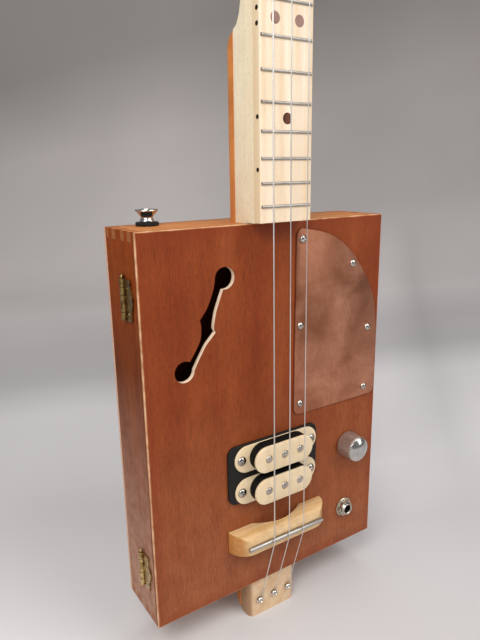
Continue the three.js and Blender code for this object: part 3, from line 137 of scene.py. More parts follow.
def newPiece(name, bm, material, nodes=(), body="guitar_frame", smooth=32, placed=False):
    if not placed:
        bmesh.ops.transform(bm, matrix=toFrame, verts=bm.verts)
    mesh = bpy.data.meshes.new(name)
    bm.to_mesh(mesh)
    bm.free()
    mesh.shade_smooth()
    mesh.set_sharp_from_angle(angle=math.radians(smooth))
    piece = bpy.data.objects.new(name, mesh)
    bpy.context.scene.collection.objects.link(piece)
    mesh.materials.append(materials[material])
    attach(piece, body)
    if nodes:
        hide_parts(*nodes)


def sharpEdges(bm, angle=30):
    return [e for e in bm.edges if len(e.link_faces) == 2 and e.calc_face_angle(0) > math.radians(angle)]


def roundEdges(bm, edges, width, segments):
    bmesh.ops.bevel(bm, geom=edges, offset=width, offset_type="OFFSET", affect="EDGES",
                    segments=segments, profile=0.5, material=-1, clamp_overlap=True)


# Rounds the sharp edges round the front of a plate, which lie wholly before y = -1.
def roundFront(bm, width, segments):
    roundEdges(bm, [e for e in sharpEdges(bm, 60) if all(v.co.y < -1 for v in e.verts)], width, segments)


def block(bm, x0, x1, y0, y1, z0, z1):
    centre = Matrix.Translation(((x0 + x1) / 2, (y0 + y1) / 2, (z0 + z1) / 2))
    bmesh.ops.create_cube(bm, size=1, matrix=centre @ Matrix.Diagonal((x1 - x0, y1 - y0, z1 - z0, 1)))
    return bm


# A flat outline given thickness. plane "xz" takes depth along y, "xy" along z and "yz" along x.
def slab(bm, points, plane, low, high):
    spots = {"xz": lambda a, b: (a, low, b), "xy": lambda a, b: (a, b, low), "yz": lambda a,
             b: (low, a, b)}[plane]
    rise = {"xz": (0, high - low, 0), "xy": (0, 0, high - low), "yz": (high - low, 0, 0)}[plane]
    face = bm.faces.new([bm.verts.new(spots(a, b)) for a, b in points])
    top = bmesh.ops.extrude_face_region(bm, geom=[face])
    bmesh.ops.translate(bm, vec=rise, verts=[g for g in top["geom"] if isinstance(g, bmesh.types.BMVert)])
    bmesh.ops.recalc_face_normals(bm, faces=bm.faces)
    return bm


# A profile of (radius, height) turned about an axis through centre, heights counted along the axis.
def turn(bm, profile, centre, axis="y", steps=48):
    along = {"x": Vector((1, 0, 0)), "y": Vector((0, 1, 0)), "z": Vector((0, 0, 1))}[axis]
    across = {"x": Vector((0, 1, 0)), "y": Vector((0, 0, 1)), "z": Vector((1, 0, 0))}[axis]
    middle = Vector(centre)
    verts = [bm.verts.new(middle + across * radius + along * height) for radius, height in profile]
    edges = [bm.edges.new(pair) for pair in zip(verts, verts[1:])]
    bmesh.ops.spin(bm, geom=verts + edges, cent=middle, axis=along, dvec=(0, 0, 0), angle=2 * math.pi,
                   steps=steps, use_merge=True)
    bmesh.ops.remove_doubles(bm, verts=bm.verts, dist=0.0005)
    bmesh.ops.recalc_face_normals(bm, faces=bm.faces)
    return bm


def arcPoints(cx, cz, radius, start, end, count):
    turns = [math.radians(start + (end - start) * i / count) for i in range(count + 1)]
    return [(cx + radius * math.cos(a), cz + radius * math.sin(a)) for a in turns]


def racetrack(length, width, cx, cz, count=16):
    reach = (length - width) / 2
    return (arcPoints(cx + reach, cz, width / 2, -90, 90, count)
            + arcPoints(cx - reach, cz, width / 2, 90, 270, count))


def roundedPlan(x0, x1, z0, z1, r):
    corners = ((x1 - r, z0 + r, -90), (x1 - r, z1 - r, 0), (x0 + r, z1 - r, 90), (x0 + r, z0 + r, 180))
    return [point for x, z, start in corners for point in arcPoints(x, z, r, start, start + 90, 8)]


def hexagon(width, cx, cz):
    return arcPoints(cx, cz, width / math.sqrt(3), 0, 300, 5)


# A smooth curve through the points, by Catmull and Rom's rule.
def curveThrough(points, steps):
    out = []
    for i in range(len(points) - 1):
        p = [Vector(points[max(min(i + k, len(points) - 1), 0)]) for k in (-1, 0, 1, 2)]
        for s in range(steps):
            t = s / steps
            spot = 0.5 * (2 * p[1] + (p[2] - p[0]) * t + (2 * p[0] - 5 * p[1] + 4 * p[2] - p[3]) * t * t
                          + (3 * p[1] - p[0] - 3 * p[2] + p[3]) * t ** 3)
            out.append(tuple(spot))
    return out + [tuple(points[-1])]


# Cuts the second closed shape out of the first, which keeps the result.
def cutAway(bm, cutter):
    items = []
    for name, shape in (("whole", bm), ("cutter", cutter)):
        mesh = bpy.data.meshes.new(name)
        shape.to_mesh(mesh)
        item = bpy.data.objects.new(name, mesh)
        bpy.context.scene.collection.objects.link(item)
        items.append(item)
    cutter.free()
    cut = items[0].modifiers.new("cut", "BOOLEAN")
    cut.operation = "DIFFERENCE"
    cut.solver = "EXACT"
    cut.object = items[1]
    bpy.context.view_layer.update()
    made = bpy.data.meshes.new_from_object(items[0].evaluated_get(bpy.context.evaluated_depsgraph_get()))
    bm.clear()
    bm.from_mesh(made)
    for item in items:
        bpy.data.objects.remove(item)


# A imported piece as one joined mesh.
def packedCopy(node):
    bm = bmesh.new()
    bm.from_mesh(frame["nodes"][node].data)
    bmesh.ops.remove_doubles(bm, verts=bm.verts, dist=1e-6)
    return bm


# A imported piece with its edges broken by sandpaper.
def sandedCopy(name, node, material, width, segments, angle):
    bm = packedCopy(node)
    bmesh.ops.dissolve_limit(bm, angle_limit=math.radians(0.6), verts=bm.verts, edges=bm.edges)
    bmesh.ops.scale(bm, vec=(1000, 1000, 1000), verts=bm.verts)
    roundEdges(bm, sharpEdges(bm, angle), width, segments)
    bmesh.ops.scale(bm, vec=(0.001, 0.001, 0.001), verts=bm.verts)
    newPiece(name, bm, material, (node,), frame["nodes"][node]["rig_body"], placed=True)


# Materials

# Sliced or sawn wood: long soft bands, finer streaks inside them and short dark pores, all along the grain.
# Bands, streaks and pores start with their size in mm across and along the grain, clouds with their width.
# Pores then have the noise level below which they show. Depths come last.
def woodMaterial(name, look):
    add = newMaterial(name)
    look = SimpleNamespace(**{"undertones": (), "covers": (), **look})
    coords = add("TexCoord").outputs
    place = coords["Object"]
    wander = add("TexNoise", {"Scale": 9.0, "Detail": 2.0, "Vector": place})
    shift = add("VectorMath", {"operation": "MULTIPLY_ADD", 0: wander.outputs["Color"], 1: (look.wander,) * 3,
                               2: place})

    def grainNoise(acrossMm, alongMm, detail, roughness):
        scale = [1000 / acrossMm] * 3
        scale["xyz".index(look.grain)] = 1000 / alongMm
        spread = add("Mapping", {"Scale": scale, "Vector": shift})
        return add("TexNoise", {"Scale": 1.0, "Detail": detail, "Roughness": roughness, "Vector": spread})

    bandMm, bandLengthMm = look.bands
    streakMm, streakLengthMm, streakDepth = look.streaks
    cloudMm, cloudDepth = look.clouds
    poreMm, poreLengthMm, poreShare, poreDepth = look.pores
    band = grainNoise(bandMm, bandLengthMm, 4.0, 0.55)
    streak = grainNoise(streakMm, streakLengthMm, 3.0, 0.6)
    pore = grainNoise(poreMm, poreLengthMm, 1.0, 0.5)
    bandTone = add("ValToRGB", {"Fac": band, "stops": zip((0.3, 0.5, 0.72), look.tones)})
    streakTone = add("ValToRGB", {"Fac": streak, "stops": [
        (0.32, grey(1 - streakDepth)), (0.6, grey(1)), (0.8, grey(1 + streakDepth * 0.4))]})
    poreTone = add("ValToRGB", {"Fac": pore, "stops": [(poreShare, grey(1 - poreDepth)),
                                                       (poreShare + 0.06, grey(1))]})
    cloud = add("TexNoise", {"Scale": 1000 / cloudMm, "Detail": 3.0, "Vector": place})
    cloudTone = add("ValToRGB", {"Fac": cloud, "stops": [   # red changes least and blue most
        (0.35, tuple(1 - share * cloudDepth for share in (1, 1.5, 1.8, 0))),
        (0.65, tuple(1 + share * cloudDepth for share in (0.4, 0.7, 0.8, 0)))]})
    colour = add("Mix", {**multiplied, 6: bandTone, 7: cloudTone})
    for cover in look.undertones:
        colour = cover(add, coords, colour)
    for tone in (streakTone, poreTone):
        colour = add("Mix", {**multiplied, 6: colour, 7: tone})
    for cover in look.covers:
        colour = cover(add, coords, colour)
    height = add("Mix", {**multiplied, 6: streakTone, 7: poreTone})
    bump = add("Bump", {"Strength": look.bump, "Distance": 0.0002, "Height": height})
    gloss = add("MapRange", span(streak, 0.0, 1.0, look.roughness + 0.08, look.roughness - 0.06))
    shader = add("BsdfPrincipled", {
        "IOR": 1.5, "Specular IOR Level": look.sheen, "Coat Weight": look.coat[0],
        "Coat Roughness": look.coat[1], "Base Color": colour, "Roughness": gloss, "Normal": bump})
    add("OutputMaterial", {"Surface": shader})


# The cut edges of the front sheet show its pale core. Round the outside the rear plies took stain with the
# walls, and the face is worn pale along the rim and a little redder beside it. Widths are in
# metres.
plyLook = {"layers": ((0.0, "#dfb192"), (0.1, "#f6e2ca"), (0.42, "#f0d6ba"), (0.52, "#d9b594"),
                      (0.64, "#f3dcc3"),
                      (1.0, "#e3c0a0")),
           "grime": ((0.38, "#c9a27c"), (0.62, "#e6cfb4")), "stain": "#7f3a1c", "beside": "#7c2c0f",
           "worn": "#dba374", "patchScale": 130.0, "outside": 0.0006, "ragged": 0.0012}


def plyEdge(add, coords, colour):
    look = SimpleNamespace(**plyLook)
    facing = add("SeparateXYZ", {0: coords["Normal"]})
    turnedAway = add("Math", {"operation": "ABSOLUTE", 0: facing.outputs[1]})
    onEdge = add("Math", {"operation": "LESS_THAN", 0: turnedAway, 1: 0.85})
    spot = add("SeparateXYZ", {0: coords["Object"]})
    inside = []
    for output, half in ((0, boxSize["width"] / 2000), (2, boxSize["length"] / 2000)):
        away = add("Math", {"operation": "ABSOLUTE", 0: spot.outputs[output]})
        inside.append(add("Math", {"operation": "SUBTRACT", 0: half, 1: away}))
    rim = add("Math", {"operation": "MINIMUM", 0: inside[0], 1: inside[1]})
    front = -boxSize["depth"] / 1000
    depth = add("MapRange", span(spot.outputs[1], front, front + boxSize["front"] / 1000))
    layers = add("ValToRGB", {"Fac": depth, "stops": look.layers})
    patches = add("TexNoise", {"Scale": look.patchScale, "Detail": 3.0, "Vector": coords["Object"]})
    patchTone = add("ValToRGB", {"Fac": patches, "stops": [(0.35, grey(0.86)), (0.62, grey(1))]})
    dusty = add("Mix", {**multiplied, 6: layers, 7: patchTone})
    outer = add("Math", {"operation": "LESS_THAN", 0: rim, 1: look.outside})
    rear = add("MapRange", span(depth, 0.5, 0.6))
    soaked = add("Math", {"operation": "MULTIPLY", 0: outer, 1: rear})
    grime = add("ValToRGB", {"Fac": patches, "stops": look.grime})
    grimy = add("Mix", {**multiplied, 0: outer, 6: dusty, 7: grime})
    edge = add("Mix", {**mixed, 0: soaked, 6: grimy, 7: srgb(look.stain)})
    ragged = add("Math", {"operation": "MULTIPLY_ADD", 0: patches, 1: -look.ragged, 2: rim})
    wear = add("MapRange", span(ragged, -0.0002, 0.0004, 0.3, 0.0))
    nearRim = add("MapRange", span(rim, 0.002, 0.009, 0.4, 0.0))
    redder = add("Mix", {**mixed, 0: nearRim, 6: colour, 7: srgb(look.beside)})
    rubbed = add("Mix", {**mixed, 0: wear, 6: redder, 7: srgb(look.worn)})
    return add("Mix", {**mixed, 0: onEdge, 6: rubbed, 7: edge})


# End grain of the walls drinks more stain, so the sawn ends and fingers have tones of their own.
def darkEnds(axis, tones, low=0.65, high=0.75):
    def cover(add, coords, colour):
        facing = add("SeparateXYZ", {0: coords["Normal"]})
        turned = add("Math", {"operation": "ABSOLUTE", 0: facing.outputs[axis]})
        onEnd = add("MapRange", span(turned, low, high))
        speck = add("TexNoise", {"Scale": 900.0, "Detail": 2.0, "Vector": coords["Object"]})
        ends = add("ValToRGB", {"Fac": speck, "stops": zip((0.35, 0.65), tones)})
        return add("Mix", {**mixed, 0: onEnd, 6: colour, 7: ends})
    return cover


# Vertical rubs on the side walls, 1.4 mm wide and 45 mm long.
def rubMarks(tint, share):
    def cover(add, coords, colour):
        narrow = add("Mapping", {"Scale": (1000 / 1.4, 1000 / 1.4, 1000 / 45), "Vector": coords["Object"]})
        lines = add("TexNoise", {"Scale": 1.0, "Detail": 3.0, "Vector": narrow})
        amount = add("MapRange", span(lines, 0.6, 0.74, 0.0, share))
        return add("Mix", {**mixed, 0: amount, 6: colour, 7: srgb(tint)})
    return cover


# A paler or darker tone that comes in between two heights, in metres, broken up by patches a few millimetres
# wide.
def towards(tint, low, high, share):
    def cover(add, coords, colour):
        spot = add("SeparateXYZ", {0: coords["Object"]})
        patches = add("TexNoise", {"Scale": 120.0, "Detail": 4.0, "Vector": coords["Object"]})
        amount = add("MapRange", span(spot.outputs[2], low, high, 0.0, share))
        broken = add("MapRange", span(patches, 0.3, 0.6, 0.6, 1.0))
        patchy = add("Math", {"operation": "MULTIPLY", 0: amount, 1: broken})
        return add("Mix", {**mixed, 0: patchy, 6: colour, 7: srgb(tint)})
    return cover


# A side of a piece painted darker, below a height in metres: side is the sign of x it faces. On the tail this
# is painted shade; on the fretboard it is the edge's own tone and painted shade along it.
def tintAndShadeSide(tint, side, below, share):
    def cover(add, coords, colour):
        facing = add("SeparateXYZ", {0: coords["Normal"]})
        turned = add("Math", {"operation": "MULTIPLY", 0: facing.outputs[0], 1: side})
        onSide = add("MapRange", span(turned, 0.4, 0.8, 0.0, share))
        spot = add("SeparateXYZ", {0: coords["Object"]})
        low = add("Math", {"operation": "LESS_THAN", 0: spot.outputs[2], 1: below})
        amount = add("Math", {"operation": "MULTIPLY", 0: onSide, 1: low})
        return add("Mix", {**mixed, 0: amount, 6: colour, 7: srgb(tint)})
    return cover


# Solid stained cedar of the side walls, grain along the wall. Both are paler toward the foot, the left one
# most: dust, and painted light for the light bounced up from the floor and the sheen it leaves. Both are
# painted more orange near the top, where more light falls.
uprightLook = {
    "grain": "z", "tones": ("#64290a", "#74330c", "#854213"), "wander": 0.003, "bands": (12, 160),
    "streaks": (1.3, 30, 0.14), "clouds": (40, 0.08), "pores": (0.6, 4, 0.38, 0.24), "bump": 0.2,
    "roughness": 0.55, "sheen": 0.07, "coat": (0.0, 0.4),
    "covers": (rubMarks("#b5784f", 0.3), darkEnds(2, ("#8a4a26", "#9c5a33")))}
# painted light: the upper side walls are made more orange, where more light falls on them
paintedTopLight = towards("#97451a", 0.04, 0.12, 0.8)

woodLooks = {
    "stainedCedarVeneer": {   # sliced face of the front, satin, with pores drawn twice as wide as real ones
        "grain": "z", "tones": ("#823612", "#8b3f17", "#984d24"), "wander": 0.004, "bands": (24, 160),
        "streaks": (1.1, 13, 0.17), "clouds": (40, 0.1), "pores": (0.6, 4, 0.39, 0.19), "bump": 0.18,
        "roughness": 0.5, "sheen": 0.22, "coat": (0.02, 0.35),
        # painted sheen: the face is paler toward the foot, standing in for the haze the lower face reflects
        "undertones": (towards("#a96a45", 0.02, -0.11, 0.5),), "covers": (plyEdge,)},
    "stainedCedarLeft": {**uprightLook, "undertones": (paintedTopLight, towards("#bd9079", 0.045, -0.1, 0.9))},
    "stainedCedarRight": {**uprightLook, "undertones": (paintedTopLight, towards("#a5694a", 0.045, -0.1, 0.6))},
    "stainedCedarAcross": {
        # lighter than the side walls: partly the wood's own tone, partly painted light on the upper walls,
        # which face the light from above
        "grain": "x", "tones": ("#b0652f", "#c17639", "#cd874a"), "wander": 0.003, "bands": (9, 200),
        "streaks": (1.3, 50, 0.14), "clouds": (40, 0.08), "pores": (0.5, 5, 0.37, 0.24), "bump": 0.2,
        "roughness": 0.48, "sheen": 0.35, "coat": (0.05, 0.4),
        "covers": (darkEnds(0, ("#8a4a20", "#a5622e")),)},
    "stainedCedarBack": {
        "grain": "z", "tones": ("#7d3b1b", "#8c451f", "#99502a"), "wander": 0.005, "bands": (18, 260),
        "streaks": (1.6, 40, 0.12), "clouds": (45, 0.08), "pores": (0.5, 5, 0.36, 0.26), "bump": 0.2,
        "roughness": 0.5, "sheen": 0.35, "coat": (0.04, 0.4),
        "covers": (darkEnds(0, ("#c4967a", "#ddb294")),)},
    "hardMaple": {   # clear satin finish: nearly even cream with faint short flecks
        "grain": "z", "tones": ("#efdcb9", "#f4e3c4", "#f8e9cf"), "wander": 0.002, "bands": (14, 260),
        "streaks": (1.0, 14, 0.06), "clouds": (30, 0.03), "pores": (0.7, 2.5, 0.38, 0.1), "bump": 0.08,
        "roughness": 0.42, "sheen": 0.4, "coat": (0.15, 0.25),
        # painted shade: the tail below the box is darker, and its left side darker still
        "covers": (towards("#cfa376", -0.125, -0.13, 0.8), tintAndShadeSide("#946a41", -1, -0.128, 0.8))},
    "mapleFretboard": {
        "grain": "z", "tones": ("#ebcda6", "#f1d9bb", "#f6e4cf"), "wander": 0.005, "bands": (6, 120),
        "streaks": (1.0, 30, 0.025), "clouds": (30, 0.02), "pores": (0.6, 2.5, 0.36, 0.06), "bump": 0.08,
        # its left side is painted darker tan: the edge's own tone, and painted shade along it
        "roughness": 0.4, "sheen": 0.4, "coat": (0.15, 0.22), "covers": (tintAndShadeSide("#d9bd90", -1, 1.0, 0.5),)},
    "orangeCedarStrip": {   # on the back of the neck: orange brown, long straight bands
        "grain": "z", "tones": ("#c06e30", "#d08040", "#dd9654"), "wander": 0.002, "bands": (5, 220),
        "streaks": (1.0, 40, 0.1), "clouds": (16, 0.13), "pores": (0.5, 4, 0.36, 0.15), "bump": 0.12,
        "roughness": 0.42, "sheen": 0.4, "coat": (0.1, 0.25)},
    "oiledBridgeWood": {   # ash-like, grain along the bridge
        "grain": "x", "tones": ("#c79a5e", "#d7af7b", "#e2c497"), "wander": 0.003, "bands": (5, 90),
        "streaks": (0.9, 25, 0.07), "clouds": (20, 0.05), "pores": (0.4, 4, 0.36, 0.16), "bump": 0.12,
        "roughness": 0.45, "sheen": 0.4, "coat": (0.08, 0.3),
        # its ends and the shoulders turning to them are darker: partly end grain, partly painted shade where
        # they turn from the light
        "covers": (darkEnds(0, ("#ad7238", "#c08548"), 0.25, 0.6),)},
    "walnutDot": {   # let into the fretboard
        "grain": "z", "tones": ("#4a291b", "#5e3827", "#764c3a"), "wander": 0.001, "bands": (3, 20),
        "streaks": (0.6, 8, 0.15), "clouds": (8, 0.05), "pores": (0.4, 3, 0.36, 0.25), "bump": 0.1,
        "roughness": 0.5, "sheen": 0.2, "coat": (0.0, 0.3),
        # the dots above the lowest are painted paler: painted sheen, for the haze they reflect
        "covers": (towards("#a58277", 0.205, 0.215, 0.9),)}}
for name, look in woodLooks.items():
    woodMaterial(name, look)


# A metal or plastic whose gloss varies a little from handling.
def plainMaterial(name, look):
    add = newMaterial(name)
    look = SimpleNamespace(**{"metal": 1.0, "detail": 3.0, "ior": 1.5, "sheen": 0.5, **look})
    coords = add("TexCoord").outputs
    spread = add("Mapping", {"Scale": [1000 / mm for mm in look.patchMm], "Vector": coords["Object"]})
    patch = add("TexNoise", {"Scale": 1.0, "Detail": look.detail, "Vector": spread})
    tone = add("ValToRGB", {"Fac": patch, "stops": zip((0.35, 0.62), look.tones)})
    rough = add("MapRange", span(patch, 0.0, 1.0, look.rough[0], look.rough[1]))
    bump = add("Bump", {"Strength": look.bump, "Distance": 0.0001, "Height": patch})
    settings = {"Metallic": look.metal, "Base Color": tone, "Roughness": rough, "Normal": bump}
    if not look.metal:
        settings.update({"IOR": look.ior, "Specular IOR Level": look.sheen})
    add("OutputMaterial", {"Surface": add("BsdfPrincipled", settings)})


# Patches are given in mm along x, y and z.
plainLooks = {
    "nickelPlate": {   # bright, a little warm, faint handling marks
        "tones": ("#d0cdc8", "#dcd9d4"), "patchMm": (8, 8, 8), "rough": (0.08, 0.13), "bump": 0.004},
    "dullNickel": {   # on screws, dulled by handling
        "tones": ("#a8a29a", "#c8c3bb"), "patchMm": (4, 4, 4), "rough": (0.12, 0.2), "bump": 0.01},
    "satinNickel": {   # on the jack, turned and left satin
        "tones": ("#b5ad9e", "#cfc8ba"), "patchMm": (2, 2, 2), "rough": (0.22, 0.32), "bump": 0.02},
    "knurledNickel": {   # on the grip, dulled by the fine cuts
        "tones": ("#b4aea6", "#d8d2ca"), "patchMm": (1, 1, 1), "rough": (0.4, 0.5), "bump": 0.08},
    "turnedNickel": {   # over the knob's cap, where fine lathe lines soften what it mirrors
        "tones": ("#bfbcb8", "#cfccc8"), "patchMm": (6, 6, 6), "rough": (0.15, 0.2), "bump": 0.004},
    "poleNickel": {   # pole pieces, tumbled smooth
        "tones": ("#b8b0a8", "#cac2ba"), "patchMm": (6, 6, 6), "rough": (0.26, 0.32), "bump": 0.004},
    "drawnSteel": {   # plain wire, drawn lengthwise
        "tones": ("#dedbd7", "#f2f0ed"), "patchMm": (0.5, 0.5, 20), "rough": (0.3, 0.4), "bump": 0.04},
    "drawnRod": {
        "tones": ("#b4b0a9", "#c2beb8"), "patchMm": (40, 8, 8), "rough": (0.36, 0.4), "bump": 0.002},
    "agedBrass": {   # browned in the hollows
        "tones": ("#8a6f45", "#cdb27c"), "patchMm": (2.6, 2.6, 2.6), "rough": (0.2, 0.34), "bump": 0.08},
    # the upper hinge's brass: a darker copy, painted reflection of the dark backdrop
    "brownedBrass": {
        "tones": ("#62492b", "#a88c58"), "patchMm": (2.6, 2.6, 2.6), "rough": (0.24, 0.38), "bump": 0.08},
    "fretWire": {   # nickel silver, dressed and polished
        "tones": ("#a8a29b", "#bab4ad"), "patchMm": (16, 6, 6), "rough": (0.34, 0.4), "bump": 0.002},
    "mouldedBlackAbs": {   # fine matte grain
        "tones": ("#100e0c", "#1b1815"), "patchMm": (0.6, 0.6, 0.6), "rough": (0.42, 0.55), "bump": 0.12,
        "metal": 0.0, "ior": 1.53, "sheen": 0.25},
    "creamBobbinPlastic": {   # smooth with a soft sheen
        "tones": ("#dfc59e", "#e4cda9"), "patchMm": (9, 9, 9), "rough": (0.34, 0.4), "bump": 0.015,
        "metal": 0.0, "ior": 1.53},
    "coilClothTape": {
        "tones": ("#060504", "#12100d"), "patchMm": (0.5, 1.2, 0.5), "rough": (0.6, 0.8), "bump": 0.6,
        "metal": 0.0, "sheen": 0.15},
    "pressedFelt": {   # wool, under the strap button
        "tones": ("#050505", "#141414"), "patchMm": (0.5, 0.5, 0.5), "rough": (0.9, 1.0), "bump": 1.0,
        "metal": 0.0, "detail": 6.0},
    "polishedBone": {
        "tones": ("#ddd0b0", "#efe7d2"), "patchMm": (6, 2, 2), "rough": (0.25, 0.4), "bump": 0.04,
        "metal": 0.0, "ior": 1.55},
    "wireCover": {
        "tones": ("#1a1a1d", "#2b2b30"), "patchMm": (2, 2, 2), "rough": (0.45, 0.6), "bump": 0.1,
        "metal": 0.0}}
for name, look in plainLooks.items():
    plainMaterial(name, look)


# Copper sheet rubbed by hand with fine abrasive: scratches lie on arcs about three spots beside the sheet,
# about one to each 0.8 mm so they show, over pale smudges. A spot is x and z in metres and the arcs' length
# in mm, 100 mm away.
copperLook = {"spots": ((-0.03, 0.03, 26), (0.19, 0.12, 20), (0.06, -0.09, 24)), "scratchMm": 0.8,
              "smudges": ((0.3, "#955d44"), (0.5, "#ad7358"), (0.7, "#c78d72"))}


def copperMaterial():
    look = SimpleNamespace(**copperLook)
    add = newMaterial("rubbedCopperSheet")
    place = add("TexCoord").outputs["Object"]
    rubs = []
    for x, z, alongMm in look.spots:
        away = add("VectorMath", {"operation": "SUBTRACT", 0: place, 1: (x, 0, z)})
        spot = add("SeparateXYZ", {0: away})
        angle = add("Math", {"operation": "ARCTAN2", 0: spot.outputs[2], 1: spot.outputs[0]})
        radius = add("VectorMath", {"operation": "LENGTH", 0: away})
        across = add("Math", {"operation": "MULTIPLY", 0: radius, 1: 1000 / look.scratchMm})
        sweep = add("Math", {"operation": "MULTIPLY", 0: angle, 1: 100 / alongMm})
        polar = add("CombineXYZ", {0: across, 1: sweep})
        rubs.append(add("TexNoise", {"Scale": 1.0, "Detail": 4.0, "Roughness": 0.6, "Vector": polar}))
    both = add("Math", {"operation": "MAXIMUM", 0: rubs[0], 1: rubs[1]})
    scratches = add("Math", {"operation": "MAXIMUM", 0: both, 1: rubs[2]})
    smudge = add("TexNoise", {"Scale": 30.0, "Detail": 5.0, "Roughness": 0.6, "Distortion": 0.4,
                              "Vector": place})
    base = add("ValToRGB", {"Fac": smudge, "stops": look.smudges})
    fine = add("ValToRGB", {"Fac": scratches, "stops": [(0.48, grey(0.88)), (0.72, grey(1.12))]})
    rubbed = add("Mix", {**multiplied, 6: base, 7: fine})
    spot = add("SeparateXYZ", {0: place})   # painted reflection and shade: lighter toward the foot and darker toward the top
    paintedReflection = add("MapRange", span(spot.outputs[2], -0.006, 0.12, 1.25, 0.84))
    colour = add("VectorMath", {"operation": "SCALE", 0: rubbed, "Scale": paintedReflection})
    rough = add("MapRange", span(smudge, 0.3, 0.7, 0.36, 0.52))
    bump = add("Bump", {"Strength": 0.2, "Distance": 0.0001, "Height": scratches})
    shader = add("BsdfPrincipled", {"Metallic": 1.0, "Base Color": colour, "Roughness": rough,
                                    "Normal": bump})
    add("OutputMaterial", {"Surface": shader})


copperMaterial()
print("materials made")


# Screws: one round head with a cross recess, copied to every place

# The recess is given in shares of the head's radius and height.
screwLook = {"crossWidth": 0.24, "crossReach": 0.55, "crossDepth": 0.45, "steps": 28}


def crossScrew():
    dome = [(math.sin(math.radians(a)), math.cos(math.radians(a))) for a in range(0, 91, 10)]
    head = turn(bmesh.new(), dome + [(0.98, -0.06), (0, -0.06)], (0, 0, 0), "z", screwLook["steps"])
    w, r = screwLook["crossWidth"] / 2, screwLook["crossReach"]
    cross = [(w, w), (w, r), (-w, r), (-w, w), (-r, w), (-r, -w), (-w, -w), (-w, -r), (w, -r), (w, -w),
             (r, -w), (r, w)]
    cutAway(head, slab(bmesh.new(), cross, "xy", 1 - screwLook["crossDepth"], 1.3))
    mesh = bpy.data.meshes.new("crossHead")
    head.to_mesh(mesh)
    head.free()
    return mesh


crossHead = crossScrew()


# A screw head whose flat side lies at spot and whose dome points along aim, turned by twist degrees.
def addScrew(bm, spot, aim, radius, dome, twist, shank, reach):
    facing = Vector(aim).to_track_quat("Z", "Y").to_matrix().to_4x4()
    spin = Matrix.Rotation(math.radians(twist), 4, "Z")
    fit = Matrix.Translation(spot) @ facing @ spin @ Matrix.Diagonal((radius, radius, dome, 1))
    before = set(bm.verts)
    bm.from_mesh(crossHead)
    bmesh.ops.transform(bm, matrix=fit, verts=[v for v in bm.verts if v not in before])
    side = Matrix.Translation(spot) @ facing @ Matrix.Translation((0, 0, -reach / 2 - hair))
    bmesh.ops.create_cone(bm, cap_ends=True, segments=16, radius1=shank * 0.6, radius2=shank, depth=reach,
                          matrix=side)
    return bm


# The box and what is inside it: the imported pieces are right, so they only take their materials

boxLooks = {
    "front_panel": "stainedCedarVeneer",
    "front_wall_left": "stainedCedarLeft", "tray_wall_left": "stainedCedarLeft",
    "front_wall_right": "stainedCedarRight", "tray_wall_right": "stainedCedarRight",
    "back_panel": "stainedCedarBack", "jack_contact": "agedBrass", "pot_body": "drawnSteel",
    "pot_shaft": "drawnSteel", "pickup_lead": "wireCover", "jack_lead": "wireCover"}
for place in ("front_wall_top_left", "front_wall_top_right", "front_wall_bottom_left",
              "front_wall_bottom_right",
              "tray_wall_top", "tray_wall_bottom"):
    boxLooks[place] = "stainedCedarAcross"
for node, material in boxLooks.items():
    dress(node, material)
print("box dressed")


# Neck, strip and nut with sanded edges, whose radii are in mm

sandedCopy("neckWood", "neck", "hardMaple", 0.7, 3, 40)
sandedCopy("heelStripWood", "heel_strip", "orangeCedarStrip", 0.6, 3, 40)
sandedCopy("boneNut", "nut", "polishedBone", 0.35, 2, 30)


# Fretboard, its frets and dots

boardLook = {"face": -11, "back": -5, "half": 19.25, "low": 256.8, "edge": 0.5, "frets": 18,
             "crownHalf": 0.95,
             "crownHigh": 1.12, "sunk": 0.15, "inset": 0.9, "filed": 0.028, "dot": 3.3, "sideDot": 1.35,
             "dots": ((-8.2, 368.7), (9.0, 368.7), (0.6, 316.2), (0, 433), (0, 476), (0, 520), (0, 584)),
             "sideDots": (372.8, 365, 316.7, 287.5, 433, 476, 520, 584)}


def makeFretboard():
    look = SimpleNamespace(**boardLook)
    bm = block(bmesh.new(), -look.half, look.half, look.face, look.back, look.low, nutZ - seatGap)
    middle = (look.face + look.back) / 2
    upright = [e for e in bm.edges if abs(e.verts[0].co.z - e.verts[1].co.z) > 1 and e.verts[0].co.y < middle]
    roundEdges(bm, upright, look.edge, 3)
    newPiece("fretboardWood", bm, "mapleFretboard", ("fretboard",))
    bm = bmesh.new()
    reach = look.half - look.inset
    for number in range(1, look.frets + 1):
        z = scaleLine["low"] + scaleLine["length"] / 2 ** (number / 12)
        crown = [(look.face + look.sunk + b * look.crownHigh, z + a * look.crownHalf)
                 for a, b in arcPoints(0, 0, 1, 180, 360, 8)]
        before = set(bm.verts)
        slab(bm, crown, "yz", -reach, reach)
        for v in bm.verts:   # the crown's ends are filed back at a slope
            if v not in before and v.co.y < look.face - 0.3:
                v.co.x *= 1 - look.filed * (look.face - v.co.y)
    newPiece("frets", bm, "fretWire", ("fretboard",), smooth=40)
    bm = bmesh.new()
    dot = [(0, -0.06), (look.dot - 0.05, -0.06), (look.dot, 0), (look.dot, 0.6), (0, 0.6)]
    for x, z in look.dots:
        turn(bm, dot, (x, look.face, z), "y", 40)
    newPiece("fretboardDots", bm, "walnutDot")
    bm = bmesh.new()
    for z in look.sideDots:
        turn(bm, [(0, -0.05), (look.sideDot, -0.05), (look.sideDot, 0.5), (0, 0.5)],
             (-look.half, look.face + 2.2, z), "x", 20)
    newPiece("sideDots", bm, "mouldedBlackAbs")


makeFretboard()
print("neck dressed")


# Strings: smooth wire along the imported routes, the thickest one wound

stringLook = {"windingMm": 0.7, "edge": 0.00009, "longEdge": 0.0008}


